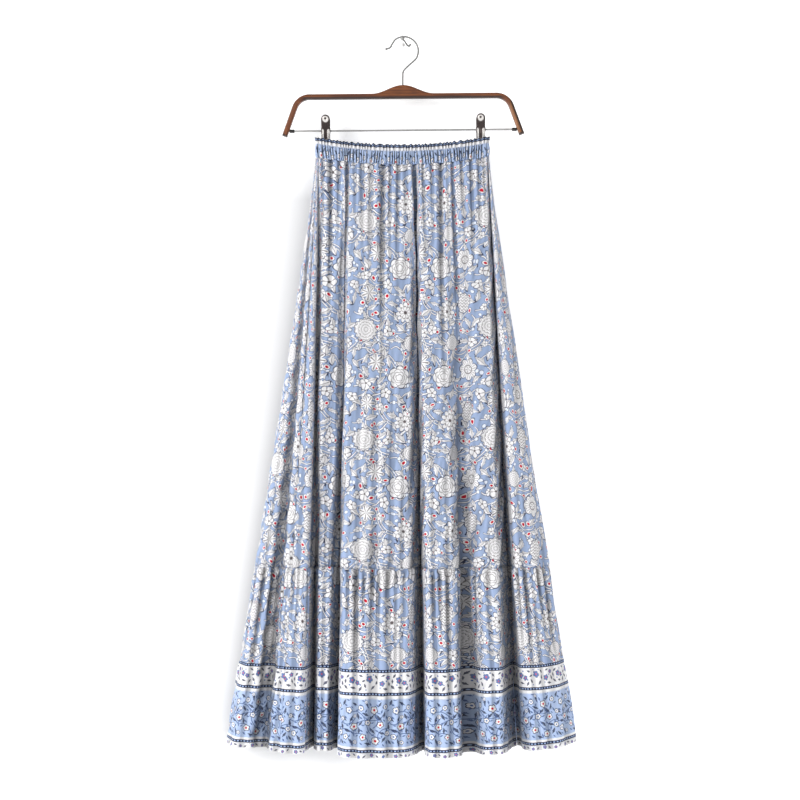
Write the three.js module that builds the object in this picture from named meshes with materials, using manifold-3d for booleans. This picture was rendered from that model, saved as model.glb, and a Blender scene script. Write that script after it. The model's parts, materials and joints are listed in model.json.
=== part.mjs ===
// A tiered maxi skirt with a gathered elastic waist, hanging from a wooden clip hanger on a wall peg.
// Units are millimetres and +Z is up. The wall is the plane y = 0 and the peg stands out of it along -Y,
// so the skirt's front faces -Y. The origin is the middle of the peg's flange, on the wall.
// The cloth is worked out from two rings, the waist and the hem, joined by threads that hang nearly straight.

import * as THREE from "three";
import { mergeVertices } from "three/addons/utils/BufferGeometryUtils.js";
import Module from "manifold-3d";

const wasm = await Module();
wasm.setup();

// Clearances
const SEAM_GAP = 0.3;
const FIT_GAP = 0.3;

// Where the hanger hangs
const HANGER_OUT = 48; // the hanger's middle plane, in front of the wall
const HANGER_TILT = THREE.MathUtils.degToRad(0.5); // its right end hangs a little high

// Waist and lengths of the skirt
const WAIST_HALF = 142; // half the relaxed waist, lying flat
const WAIST_END = { reach: 4.2, depth: 7.3 }; // the round ends; the front and the back are two depths apart
const WAIST_BACK_SLACK = 3; // the back stands off between the clips
const WAIST_BACK_SLACK_HALF = 108;
const WAIST_SAG = 13; // the middle of the waist hangs lower than its ends
const WAIST_TILT = 0.005; // rise for each millimetre to the right
const BAND_TOP_Z = -164; // at the ends of the waist
const BAND_HEIGHT = 33;
const PANEL_LENGTH = 660;
const FLOUNCE_LENGTH = 303;
const CLOTH_HALF = 0.6; // half the thickness of the cloth's wall
const TIER_Z = -868.5; // the level seam between the panels and the flounce
const HEM_Z = -1171.5; // the lowest part of the hem
const HEM_RISE = { at: 290, height: 15 }; // the hem climbs towards the sides
const DEPTH_GROWTH = 0.8; // folds deepen fast below the waist and more slowly lower down
const SPREAD_GROWTH = 1.02; // and the sides spread a little more slowly at first

// Gathers: waves in each panel, their height and how soon they fade
const WAIST_GATHERS = 28;
const WAIST_GATHER_HEIGHT = 2.0;
const WAIST_GATHER_FADE = 150;
const FLOUNCE_GATHERS = 34;
const FLOUNCE_GATHER_HEIGHT = 1.8;
const FLOUNCE_GATHER_FADE = 75;
const STEEPEST_GATHER = 0.2; // the height of a gather, as a share of its spacing
const COLUMNS_PER_GATHER = 3;
const WAIST_SHARE = 0.65; // how far the gathers are spaced by the waist, and not by the hem

// Folds of the front at the hem, from the left seam to the right seam. A fold's face runs from left to right
// and stands out in front of the hanger's plane. The valley after it lies at dipAt, dip in front of that plane.
// The threads of those three places hang from the waist at waists, measured round it from the middle of its
// front, to the right.
const FRONT_FOLDS = [
  { left: -198, right: -166, out: 61, dipAt: -147, dip: -2, waists: [-140, -138.8, -137.8] },
  { left: -139, right: -125, out: 30, dipAt: -107, dip: 2, waists: [-130, -100, -92] },
  { left: -98, right: 6, out: 66, dipAt: 34, dip: 8, waists: [-86, 13, 20] },
  { left: 45, right: 84, out: 72, dipAt: 110, dip: 42, waists: [27, 64, 84] },
  { left: 138, right: 160, out: 63, dipAt: 188, dip: 6, waists: [108, 136, 141] },
];
// Folds of the back, from the right seam round the right edge, along the back and round the left edge.
const BACK_FOLDS = [
  { left: 207, right: 246, out: 50, dipAt: 288, dip: 4, waists: [143, 147, 152] },
  { left: 262, right: 222, out: -34, dipAt: 190, dip: -18, waists: [160, 184, 196] },
  { left: 160, right: 120, out: -41, dipAt: 88, dip: -16, waists: [206, 233, 244] },
  { left: 56, right: 14, out: -42, dipAt: -20, dip: -18, waists: [255, 283, 294] },
  { left: -50, right: -92, out: -41, dipAt: -124, dip: -16, waists: [305, 335, 346] },
  { left: -156, right: -196, out: -40, dipAt: -226, dip: -18, waists: [357, 384, 393] },
  { left: -250, right: -274, out: -26, dipAt: -290, dip: 4, waists: [402, 420, 431] },
  { left: -274, right: -252, out: 46, dipAt: -224, dip: 26, waists: [437, 441, 444] },
  { left: -213, right: -206, out: 56, dipAt: -198, dip: 61, waists: [445.2, 446.2, 447.3] },
];

// Heights down the cloth at which a wall has a row of points
const PANEL_ROWS = [0, 18, 60, 130, 230, 350, 500, PANEL_LENGTH];
const FLOUNCE_ROWS = [0, 36, 110, FLOUNCE_LENGTH];
// The waistband: a ruffled heading above a casing that holds the elastic
const BAND_ROWS = [
  { down: 0, half: 0.7, ripple: 1.7 },
  { down: 10, half: 0.8, ripple: 0.9 },
  { down: 14, half: 1.6, ripple: 1.5 },
  { down: 27, half: 1.6, ripple: 1.5 },
  { down: BAND_HEIGHT, half: 1.0, ripple: 1.2 },
];

// Hanger
const BEAM_Z = -95;
const BEAM_HALF = 4.2;
const WOOD_DEPTH = 12;
const WOOD_ROUND = 2.4;
const ARM_END_X = 195.7;
const ARM_END_Z = -159.4;
const ARM_SPLAY = THREE.MathUtils.degToRad(20);
const ARM_BEND = 26;
const HUMP_HALF = 51;
const HUMP_RISE = 14;
const WIRE_RADIUS = 1.4;
const HOOK_RADIUS = 23.7;
const HOOK_CENTRE = { x: 2.3, z: -20.3 };
const HOOK_NECK_Z = -55;
const SHANK_IN_WOOD = 12;
const BAR_Z = -151;
const BAR_RADIUS = 1.5;
const BAR_HALF = 192;
const SLEEVE_RADIUS = 2.5;
const SLEEVE_LENGTH = 8;
const SLEEVE_INNER_END = 178;

// Clips
const CLIP_X = 127.8;
const CLIP_SHEET = 1;
const CLIP_HALF = { lever: 7.2, jaw: 8.5 };
const CLIP_TOP = 25.5; // above the bar
const CLIP_BOTTOM = -27;
const CLIP_HOLE_RADIUS = 2;
const EAR_RADIUS = 4.5;

// Wall peg
const PEG_RADIUS = 1.5;
const PEG_FLANGE_RADIUS = 4;
const PEG_FLANGE_THICK = 2;
const PEG_BALL_RADIUS = 3.7;
const PEG_BALL_OUT = HANGER_OUT + 7;
const TAIL_RADIUS = 0.8;

const COLOURS = {
  cloth: 0x8ba6cf,
  band: 0x7f9bc8,
  wood: 0x7a4526,
  steel: 0xb9b7b2,
  rubber: 0x1d1b1a,
};

// Solids

function solidOf(geometry) {
  const bare = geometry.clone();
  bare.deleteAttribute("normal");
  bare.deleteAttribute("uv");
  const merged = mergeVertices(bare, 1e-4);
  const made = new wasm.Manifold(
    new wasm.Mesh({
      numProp: 3,
      vertProperties: merged.attributes.position.array,
      triVerts: new Uint32Array(merged.index.array),
    }),
  );
  return made;
}

function geometryOf(solid) {
  const mesh = solid.getMesh();
  const geometry = new THREE.BufferGeometry();
  geometry.setAttribute("position", new THREE.BufferAttribute(mesh.vertProperties, 3));
  geometry.setIndex(new THREE.BufferAttribute(mesh.triVerts, 1));
  geometry.computeVertexNormals();
  return geometry;
}

function finish(name, geometry, colour, roughness, metalness) {
  const material = new THREE.MeshStandardMaterial({ color: colour, roughness, metalness });
  const mesh = new THREE.Mesh(geometry, material);
  mesh.name = name;
  return mesh;
}

// A cylinder along X, Y or Z, from one end to the other
function rod(axis, radius, from, to, at, sides = 16) {
  const geometry = new THREE.CylinderGeometry(radius, radius, to - from, sides);
  geometry.translate(0, (from + to) / 2, 0);
  if (axis === "x") geometry.rotateZ(-Math.PI / 2);
  if (axis === "z") geometry.rotateX(Math.PI / 2);
  geometry.translate(at.x ?? 0, at.y ?? 0, at.z ?? 0);
  return geometry;
}

// Rings of the cloth

function hemPoints() {
  const points = [];
  for (const fold of [...FRONT_FOLDS, ...BACK_FOLDS]) {
    points.push(new THREE.Vector3(fold.left, -fold.out, 0));
    points.push(new THREE.Vector3(fold.right, -fold.out, 0));
    points.push(new THREE.Vector3(fold.dipAt, -fold.dip, 0));
  }
  points.pop(); // the last valley is the left seam, where the ring began
  return points;
}

// The hem's ring by its length: share 0 is the left seam, and it runs along the front to the right seam.
function makeHemRing() {
  const SAMPLES = 3000;
  const points = hemPoints();
  const curve = new THREE.CatmullRomCurve3(points, true, "centripetal");
  const samples = [];
  const lengths = [0];
  for (let i = 0; i <= SAMPLES; i++) {
    samples.push(curve.getPoint(i / SAMPLES));
    if (i) lengths.push(lengths[i - 1] + samples[i].distanceTo(samples[i - 1]));
  }
  const total = lengths[SAMPLES];
  const shareOfPoint = (index) => lengths[Math.round((index / points.length) * SAMPLES)] / total;
  const at = (share) => {
    const length = (share - Math.floor(share)) * total;
    let low = 0;
    let high = SAMPLES;
    while (high - low > 1) {
      const middle = (low + high) >> 1;
      if (lengths[middle] > length) high = middle;
      else low = middle;
    }
    const part = (length - lengths[low]) / (lengths[high] - lengths[low]);
    return samples[low].clone().lerp(samples[high], part);
  };
  return { total, at, shareOfPoint };
}

const hem = makeHemRing();

// Where the folds lie, as shares of the hem and as distances round the waist
const POINTS_PER_FOLD = 3;
const KNOTS = [];
[...FRONT_FOLDS, ...BACK_FOLDS].forEach((fold, k) => {
  fold.waists.forEach((waist, j) => {
    KNOTS.push({ share: hem.shareOfPoint(POINTS_PER_FOLD * k + j), waist });
  });
});
KNOTS[KNOTS.length - 1].share = 1;
const RIGHT_SEAM = KNOTS[POINTS_PER_FOLD * FRONT_FOLDS.length - 1].share;

function waistAt(share) {
  const turn = share - Math.floor(share);
  const next = KNOTS.findIndex((knot) => knot.share > turn);
  const [a, b] = [KNOTS[next - 1], KNOTS[next]];
  return THREE.MathUtils.mapLinear(turn, a.share, b.share, a.waist, b.waist);
}

// The waist's ring is a flat loop with round ends, its back in the hanger's plane.
function waistPoint(share) {
  const { reach, depth } = WAIST_END;
  const half = WAIST_HALF - reach;
  const endLength = (Math.PI * (reach + depth)) / 2;
  const round = waistAt(share);
  const along = round < -half ? round + 4 * half + 2 * endLength : round;
  const onBack = along - half - endLength;
  const point = new THREE.Vector3(along, -2 * depth, 0);
  if (onBack > 2 * half) {
    const turn = (Math.PI * (onBack - 2 * half)) / endLength;
    point.set(-half - reach * Math.sin(turn), -depth + depth * Math.cos(turn), 0);
  } else if (onBack > 0) {
    const x = half - onBack;
    const slack = Math.max(0, 1 - (x / WAIST_BACK_SLACK_HALF) ** 2);
    point.set(x, WAIST_BACK_SLACK * slack ** 2, 0);
  } else if (along > half) {
    const turn = (Math.PI * (along - half)) / endLength;
    point.set(half + reach * Math.sin(turn), -depth - depth * Math.cos(turn), 0);
  }
  point.z = waistTop(point.x) - BAND_HEIGHT;
  return point;
}

function waistTop(x) {
  return BAND_TOP_Z + WAIST_TILT * x - WAIST_SAG * (1 - (x / WAIST_HALF) ** 2);
}

const CLOTH_LENGTH = PANEL_LENGTH + FLOUNCE_LENGTH;

// A point of the smooth cloth: share round the skirt, and down from the waistband along a thread
function clothPoint(share, down) {
  const { lerp, mapLinear } = THREE.MathUtils;
  const top = waistPoint(share);
  const foot = hem.at(share);
  const part = Math.max(0, down) / CLOTH_LENGTH;
  const footZ = HEM_Z + HEM_RISE.height * (foot.x / HEM_RISE.at) ** 2;
  return new THREE.Vector3(
    lerp(top.x, foot.x, part ** SPREAD_GROWTH),
    lerp(top.y, foot.y, part ** DEPTH_GROWTH),
    down < PANEL_LENGTH
      ? mapLinear(down, 0, PANEL_LENGTH, top.z, TIER_Z)
      : mapLinear(down, PANEL_LENGTH, CLOTH_LENGTH, TIER_Z, footZ),
  );
}

function bandPoint(share, down) {
  const point = waistPoint(share);
  point.z += BAND_HEIGHT - down;
  return point;
}

// The two panels: their ends as shares of the hem, and the columns of a wall, spaced so that each gather
// has the same number of them
const SIDES = {
  front: { from: 0, to: RIGHT_SEAM },
  back: { from: RIGHT_SEAM, to: 1 },
};

function columnShares(side, gathers, waistShare) {
  const STEPS = 2000;
  const { from, to } = SIDES[side];
  const count = gathers * COLUMNS_PER_GATHER;
  const waistFrom = waistAt(from);
  const waistTo = waistAt(to - 1e-9);
  const blend = (share) =>
    (waistShare * (waistAt(share) - waistFrom)) / (waistTo - waistFrom) +
    ((1 - waistShare) * (share - from)) / (to - from);
  const shares = [from];
  for (let step = 1; step < STEPS && shares.length < count; step++) {
    const share = from + ((to - from) * step) / STEPS;
    if (blend(share) >= shares.length / count) shares.push(share);
  }
  shares.push(to - 1e-9);
  return shares;
}

const STRAIGHT_DOWN = new THREE.Vector3(0, 0, -1);

// A wall of cloth: rows down it, columns along it, its middle surface, half its thickness and its ripple.
// The thickness of a level row is laid level, as at the seam of the waist.
function wall(shares, rows, middle, gathers) {
  const speed = (share, down) => middle(share + 5e-5, down).distanceTo(middle(share - 5e-5, down)) / 1e-4;
  const last = shares.length - 1;
  const front = [];
  const back = [];
  for (const row of rows) {
    shares.forEach((columnShare, i) => {
      const seam = (SEAM_GAP / 2 / speed(columnShare + (i ? -1e-3 : 1e-3), row.down)) * (i === 0 ? 1 : -1);
      const share = columnShare + (i === 0 || i === last ? seam : 0);
      const point = middle(share, row.down);
      const along = middle(columnShare + 2e-4, row.down).sub(middle(columnShare - 2e-4, row.down));
      const down = row.level ? STRAIGHT_DOWN : middle(share, row.down + 0.5).sub(middle(share, row.down - 0.5));
      const normal = new THREE.Vector3().crossVectors(down, along).normalize();
      const spacing = point.distanceTo(middle(shares[Math.max(0, i - COLUMNS_PER_GATHER)], row.down));
      const height = Math.min(row.ripple, spacing * STEEPEST_GATHER) * gathers.press(point);
      const wave = height * Math.cos((2 * Math.PI * i) / COLUMNS_PER_GATHER);
      front.push(point.clone().addScaledVector(normal, wave + row.half));
      back.push(point.clone().addScaledVector(normal, wave - row.half));
    });
  }
  return shell(front, back, shares.length, rows.length);
}

// A closed shell between two grids of the same size
function shell(front, back, columns, rows) {
  const positions = [...front, ...back].flatMap((p) => [p.x, p.y, p.z]);
  const offset = front.length;
  const faces = [];
  const quad = (a, b, c, d) => faces.push(a, b, c, a, c, d);
  const at = (column, row) => row * columns + column;
  for (let r = 0; r < rows - 1; r++) {
    for (let c = 0; c < columns - 1; c++) {
      const corners = [at(c, r), at(c, r + 1), at(c + 1, r + 1), at(c + 1, r)];
      quad(...corners);
      quad(...corners.map((k) => k + offset).reverse());
    }
  }
  for (let c = 0; c < columns - 1; c++) {
    quad(at(c, 0), at(c + 1, 0), at(c + 1, 0) + offset, at(c, 0) + offset);
    quad(at(c + 1, rows - 1), at(c, rows - 1), at(c, rows - 1) + offset, at(c + 1, rows - 1) + offset);
  }
  for (let r = 0; r < rows - 1; r++) {
    quad(at(0, r + 1), at(0, r), at(0, r) + offset, at(0, r + 1) + offset);
    quad(at(columns - 1, r), at(columns - 1, r + 1), at(columns - 1, r + 1) + offset, at(columns - 1, r) + offset);
  }
  const geometry = new THREE.BufferGeometry();
  geometry.setAttribute("position", new THREE.Float32BufferAttribute(positions, 3));
  geometry.setIndex(faces);
  geometry.computeVertexNormals();
  return geometry;
}

const unpressed = { press: () => 1 };
// The clips press the back of the waistband flat
const pressedByClips = {
  press: (point) => {
    const away = Math.abs(Math.abs(point.x) - CLIP_X) / (2 * CLIP_HALF.jaw);
    return THREE.MathUtils.smoothstep(away, 0.45, 1);
  },
};

function waistband(side) {
  const shares = columnShares(side, WAIST_GATHERS, WAIST_SHARE);
  const rows = BAND_ROWS.map((row) => ({ ...row, down: row.down - (row.down === BAND_HEIGHT ? SEAM_GAP / 2 : 0) }));
  const gathers = side === "back" ? pressedByClips : unpressed;
  return finish("waistband_" + side, wall(shares, rows, bandPoint, gathers), COLOURS.band, 0.85, 0);
}

function panel(side) {
  const shares = columnShares(side, WAIST_GATHERS, WAIST_SHARE);
  const rows = PANEL_ROWS.map((down) => ({
    down: THREE.MathUtils.clamp(down, SEAM_GAP / 2, PANEL_LENGTH - SEAM_GAP / 2),
    half: CLOTH_HALF,
    level: down === 0,
    ripple: WAIST_GATHER_HEIGHT * Math.exp(-down / WAIST_GATHER_FADE),
  }));
  return finish("panel_" + side, wall(shares, rows, clothPoint, unpressed), COLOURS.cloth, 0.85, 0);
}

function flounce(side) {
  const shares = columnShares(side, FLOUNCE_GATHERS, 0);
  const rows = FLOUNCE_ROWS.map((down) => ({
    down: PANEL_LENGTH + Math.max(down, SEAM_GAP / 2),
    half: CLOTH_HALF,
    ripple: FLOUNCE_GATHER_HEIGHT * Math.exp(-down / FLOUNCE_GATHER_FADE),
  }));
  return finish("flounce_" + side, wall(shares, rows, clothPoint, unpressed), COLOURS.cloth, 0.85, 0);
}

// Hanger, in its own plane: x across, z up

function woodOutline() {
  const corner = ARM_END_X + (ARM_END_Z - BEAM_Z) * Math.tan(ARM_SPLAY);
  const turn = Math.PI / 2 - ARM_SPLAY;
  const tangent = ARM_BEND * Math.tan(turn / 2);
  const bendX = corner - tangent;
  const bendZ = BEAM_Z - ARM_BEND;
  const endX = Math.cos(ARM_SPLAY) * BEAM_HALF;
  const endZ = Math.sin(ARM_SPLAY) * BEAM_HALF;
  const HUMP_STEPS = 20;
  const outline = new THREE.Shape();
  outline.moveTo(-ARM_END_X + endX, ARM_END_Z - endZ);
  outline.lineTo(-ARM_END_X - endX, ARM_END_Z + endZ);
  outline.absarc(-bendX, bendZ, ARM_BEND + BEAM_HALF, Math.PI / 2 + turn, Math.PI / 2, true);
  for (let i = 0; i <= HUMP_STEPS; i++) {
    const x = HUMP_HALF * (-1 + (2 * i) / HUMP_STEPS);
    const rise = HUMP_RISE * (0.5 + 0.5 * Math.cos((Math.PI * x) / HUMP_HALF));
    outline.lineTo(x, BEAM_Z + BEAM_HALF + rise);
  }
  outline.absarc(bendX, bendZ, ARM_BEND + BEAM_HALF, Math.PI / 2, Math.PI / 2 - turn, true);
  outline.lineTo(ARM_END_X + endX, ARM_END_Z + endZ);
  outline.lineTo(ARM_END_X - endX, ARM_END_Z - endZ);
  outline.absarc(bendX, bendZ, ARM_BEND - BEAM_HALF, Math.PI / 2 - turn, Math.PI / 2, false);
  outline.absarc(-bendX, bendZ, ARM_BEND - BEAM_HALF, Math.PI / 2, Math.PI / 2 + turn, false);
  outline.closePath();
  return outline;
}

// An outline drawn in x and z, given a depth along Y about the plane y = 0
function upright(outline, depth, options = {}) {
  const geometry = new THREE.ExtrudeGeometry(outline, { depth, bevelEnabled: false, ...options });
  geometry.rotateX(Math.PI / 2);
  return geometry.translate(0, depth / 2, 0);
}

function hangerWood() {
  const body = upright(woodOutline(), WOOD_DEPTH - 2 * WOOD_ROUND, {
    bevelEnabled: true,
    bevelSize: WOOD_ROUND,
    bevelThickness: WOOD_ROUND,
    bevelOffset: -WOOD_ROUND,
    bevelSegments: 2,
    curveSegments: 10,
  });
  const hump = BEAM_Z + BEAM_HALF + HUMP_RISE;
  const shankHole = rod("z", WIRE_RADIUS + FIT_GAP, hump - SHANK_IN_WOOD - FIT_GAP, hump + 5, {}, 8);
  const barHole = rod("x", BAR_RADIUS + FIT_GAP, -BAR_HALF - FIT_GAP, BAR_HALF + FIT_GAP, { z: BAR_Z }, 8);
  const solid = solidOf(body).subtract(solidOf(shankHole)).subtract(solidOf(barHole));
  return finish("hanger_wood", geometryOf(solid), COLOURS.wood, 0.45, 0);
}

function circle(radius, sides) {
  const shape = new THREE.Shape();
  for (let i = 0; i < sides; i++) {
    const angle = (2 * Math.PI * i) / sides;
    const [x, y] = [radius * Math.cos(angle), radius * Math.sin(angle)];
    if (i) shape.lineTo(x, y);
    else shape.moveTo(x, y);
  }
  shape.closePath();
  return shape;
}

function wire(points, radius, sides, steps) {
  const path = new THREE.CatmullRomCurve3(points, false, "centripetal");
  return new THREE.ExtrudeGeometry(circle(radius, sides), { steps, bevelEnabled: false, extrudePath: path });
}

function hookPoints() {
  const LOOP_STEPS = 14;
  const loopStart = THREE.MathUtils.degToRad(-32);
  const loopEnd = THREE.MathUtils.degToRad(128);
  const shankFoot = BEAM_Z + BEAM_HALF + HUMP_RISE - SHANK_IN_WOOD;
  const points = [
    [0, shankFoot],
    [0, HOOK_NECK_Z - 8],
    [0.6, HOOK_NECK_Z],
    [3.5, HOOK_NECK_Z + 4.6],
  ];
  for (let i = 0; i <= LOOP_STEPS; i++) {
    const angle = loopStart + ((loopEnd - loopStart) * i) / LOOP_STEPS;
    const x = HOOK_CENTRE.x + HOOK_RADIUS * Math.cos(angle);
    points.push([x, HOOK_CENTRE.z + HOOK_RADIUS * Math.sin(angle)]);
  }
  points.push([-17, -8.5], [-20.6, -14.6], [-26.5, -16.5]);
  return points.map(([x, z]) => new THREE.Vector3(x, 0, z));
}

function hangerHook() {
  const TIP_RADIUS = 2.2;
  const points = hookPoints();
  const tip = points[points.length - 1];
  const ball = new THREE.SphereGeometry(TIP_RADIUS, 8, 6).translate(tip.x, tip.y, tip.z);
  const solid = solidOf(wire(points, WIRE_RADIUS, 8, 34)).add(solidOf(ball));
  return finish("hanger_hook", geometryOf(solid), COLOURS.steel, 0.25, 1);
}

function hangerBar() {
  const geometry = rod("x", BAR_RADIUS, -BAR_HALF, BAR_HALF, { z: BAR_Z }, 12);
  return finish("hanger_bar", geometry, COLOURS.steel, 0.25, 1);
}

function barSleeve(name, side) {
  const inner = BAR_RADIUS + FIT_GAP;
  const profile = [
    new THREE.Vector2(inner, 0),
    new THREE.Vector2(SLEEVE_RADIUS, 0),
    new THREE.Vector2(SLEEVE_RADIUS, SLEEVE_LENGTH),
    new THREE.Vector2(inner, SLEEVE_LENGTH),
    new THREE.Vector2(inner, 0),
  ];
  const geometry = new THREE.LatheGeometry(profile, 14).rotateZ(-Math.PI / 2);
  geometry.translate(SLEEVE_INNER_END - SLEEVE_LENGTH, 0, 0);
  if (side < 0) geometry.rotateZ(Math.PI);
  geometry.translate(0, 0, BAR_Z);
  return finish(name, geometryOf(solidOf(geometry)), COLOURS.rubber, 0.7, 0);
}

// Clips: two sheet jaws that turn on the bar. z is measured from the bar.

// Turns a shape drawn from the side: its x becomes the way out in front of the bar, and its y the height.
const SIDE_ON = new THREE.Matrix4().set(0, 0, -1, 0, -1, 0, 0, 0, 0, 1, 0, 0, 0, 0, 0, 1);

// The sheet seen from the side
const JAW_PROFILE = [
  { z: CLIP_TOP, y: 9 },
  { z: 8, y: 4.9 },
  { z: 0, y: 3.6 },
  { z: -6, y: 3.4 },
  { z: -14, y: 2.1 },
  { z: CLIP_BOTTOM, y: 2.0 },
];

function jawSheet() {
  const side = new THREE.Shape();
  JAW_PROFILE.forEach(({ y, z }, i) => (i ? side.lineTo(y, z) : side.moveTo(y, z)));
  [...JAW_PROFILE].reverse().forEach(({ y, z }) => side.lineTo(y + CLIP_SHEET, z));
  side.closePath();
  const width = 2 * CLIP_HALF.jaw;
  const sheet = new THREE.ExtrudeGeometry(side, { depth: width, bevelEnabled: false });
  sheet.translate(0, 0, -width / 2);
  sheet.applyMatrix4(SIDE_ON);
  return sheet;
}

function jawFace() {
  const face = new THREE.Shape();
  const { lever, jaw } = CLIP_HALF;
  face.moveTo(-jaw, CLIP_BOTTOM - 1);
  face.lineTo(jaw, CLIP_BOTTOM - 1);
  face.lineTo(jaw, 0);
  face.lineTo(lever, 6);
  face.absarc(0, CLIP_TOP - lever, lever, 0, Math.PI, false);
  face.lineTo(-lever, 6);
  face.lineTo(-jaw, 0);
  face.closePath();
  return upright(face, 40, { curveSegments: 10 });
}

function ear(x) {
  const REACH = 2.9;
  const plate = new THREE.Shape();
  plate.moveTo(-REACH, -EAR_RADIUS);
  plate.lineTo(REACH + 1.1, -EAR_RADIUS);
  plate.lineTo(REACH + 1.1, EAR_RADIUS);
  plate.lineTo(-REACH, EAR_RADIUS);
  plate.closePath();
  const geometry = new THREE.ExtrudeGeometry(plate, { depth: CLIP_SHEET, bevelEnabled: false });
  geometry.translate(0, 0, x - CLIP_SHEET / 2);
  geometry.applyMatrix4(SIDE_ON);
  return solidOf(geometry);
}

function clipJaw(name, clipX, facing, earX) {
  const sheet = solidOf(jawSheet()).intersect(solidOf(jawFace()));
  const hole = rod("y", CLIP_HOLE_RADIUS, -20, 0, { z: CLIP_TOP - CLIP_HALF.lever + 1.5 }, 12);
  const barHole = solidOf(rod("x", BAR_RADIUS + FIT_GAP, -20, 20, {}, 12));
  let solid = sheet.subtract(solidOf(hole)).add(ear(-earX)).add(ear(earX)).subtract(barHole);
  if (facing > 0) solid = solid.mirror([0, 1, 0]);
  solid = solid.translate([clipX, 0, BAR_Z]);
  return finish(name, geometryOf(solid), COLOURS.steel, 0.3, 1);
}

// Wall peg: a round rod with a flange on the wall, a ball at its end and a curled wire under the ball
function wallPeg() {
  const rodSolid = solidOf(rod("y", PEG_RADIUS, -PEG_BALL_OUT, -PEG_FLANGE_THICK / 2, {}, 12));
  const flange = solidOf(rod("y", PEG_FLANGE_RADIUS, -PEG_FLANGE_THICK, 0, {}, 20));
  const ball = new THREE.SphereGeometry(PEG_BALL_RADIUS, 14, 10).translate(0, -PEG_BALL_OUT, 0);
  const tail = [
    [0.5, -1.5],
    [5, -7.6],
    [8.8, -12.8],
    [11.4, -13.6],
    [13.2, -10.2],
  ].map(([x, z]) => new THREE.Vector3(x, -PEG_BALL_OUT, z));
  const solid = rodSolid
    .add(flange)
    .add(solidOf(ball))
    .add(solidOf(wire(tail, TAIL_RADIUS, 8, 12)));
  return finish("wall_peg", geometryOf(solid), COLOURS.steel, 0.3, 1);
}

// The whole object

const skirt = new THREE.Group();
for (const side of Object.keys(SIDES)) skirt.add(waistband(side), panel(side), flounce(side));
skirt.position.y = -HANGER_OUT;

const hanger = new THREE.Group();
hanger.add(hangerWood(), hangerHook(), hangerBar());
hanger.add(barSleeve("bar_sleeve_left", -1), barSleeve("bar_sleeve_right", 1));
for (const [place, x] of [["left", -CLIP_X], ["right", CLIP_X]]) {
  hanger.add(clipJaw(`clip_${place}_front`, x, -1, 7.2), clipJaw(`clip_${place}_back`, x, 1, 5.6));
}
hanger.position.y = -HANGER_OUT;
hanger.rotation.y = -HANGER_TILT;

const model = new THREE.Group();
model.add(skirt, hanger, wallPeg());

export default model;
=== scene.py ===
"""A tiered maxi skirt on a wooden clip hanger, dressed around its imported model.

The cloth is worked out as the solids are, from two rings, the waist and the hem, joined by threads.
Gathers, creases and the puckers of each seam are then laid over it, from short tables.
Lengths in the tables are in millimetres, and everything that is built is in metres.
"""

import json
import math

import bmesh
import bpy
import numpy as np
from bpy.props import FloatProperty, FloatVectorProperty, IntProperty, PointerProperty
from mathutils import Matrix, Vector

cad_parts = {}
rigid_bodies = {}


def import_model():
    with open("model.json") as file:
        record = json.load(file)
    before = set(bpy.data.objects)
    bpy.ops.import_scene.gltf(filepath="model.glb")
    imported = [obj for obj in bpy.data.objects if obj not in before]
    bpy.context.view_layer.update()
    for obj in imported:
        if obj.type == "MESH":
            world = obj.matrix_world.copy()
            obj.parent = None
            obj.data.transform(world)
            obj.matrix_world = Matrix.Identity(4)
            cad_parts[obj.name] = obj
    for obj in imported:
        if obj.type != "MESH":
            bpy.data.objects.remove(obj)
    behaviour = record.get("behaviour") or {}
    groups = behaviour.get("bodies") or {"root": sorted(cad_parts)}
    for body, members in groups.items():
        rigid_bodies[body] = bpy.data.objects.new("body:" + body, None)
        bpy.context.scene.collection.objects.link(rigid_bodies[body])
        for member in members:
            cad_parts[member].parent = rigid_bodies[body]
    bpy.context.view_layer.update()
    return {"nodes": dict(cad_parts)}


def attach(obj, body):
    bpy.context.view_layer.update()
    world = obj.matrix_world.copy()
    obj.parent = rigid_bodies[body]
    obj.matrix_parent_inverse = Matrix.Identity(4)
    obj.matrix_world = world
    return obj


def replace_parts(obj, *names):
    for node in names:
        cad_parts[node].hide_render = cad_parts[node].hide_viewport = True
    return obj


bl_info = {
    "name": "Maxi Skirt on a Clip Hanger",
    "version": (1, 0, 0),
    "blender": (4, 5, 0),
    "location": "View3D > Sidebar > Skirt",
    "description": "Dresses a packed skirt and its clip hanger with cloth, print, wood and metal",
    "category": "Object",
}

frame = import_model()

MM = 0.001
BODY = "root"

# The hanging cloth, as in the solids

HANGER_OUT = 48
HANGER_TILT = math.radians(0.5)
WAIST_HALF = 142
WAIST_END_REACH = 4.2
WAIST_END_DEPTH = 7.3
WAIST_BACK_SLACK = 3
WAIST_BACK_SLACK_HALF = 108
WAIST_SAG = 13
WAIST_TILT = 0.005
BAND_TOP_Z = -164
BAND_HEIGHT = 33
PANEL_LENGTH = 660
FLOUNCE_LENGTH = 303
CLOTH_LENGTH = PANEL_LENGTH + FLOUNCE_LENGTH
TIER_Z = -868.5
HEM_Z = -1171.5
HEM_RISE_AT = 290
HEM_RISE = 15
DEPTH_GROWTH = 0.8
SPREAD_GROWTH = 1.02

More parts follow.
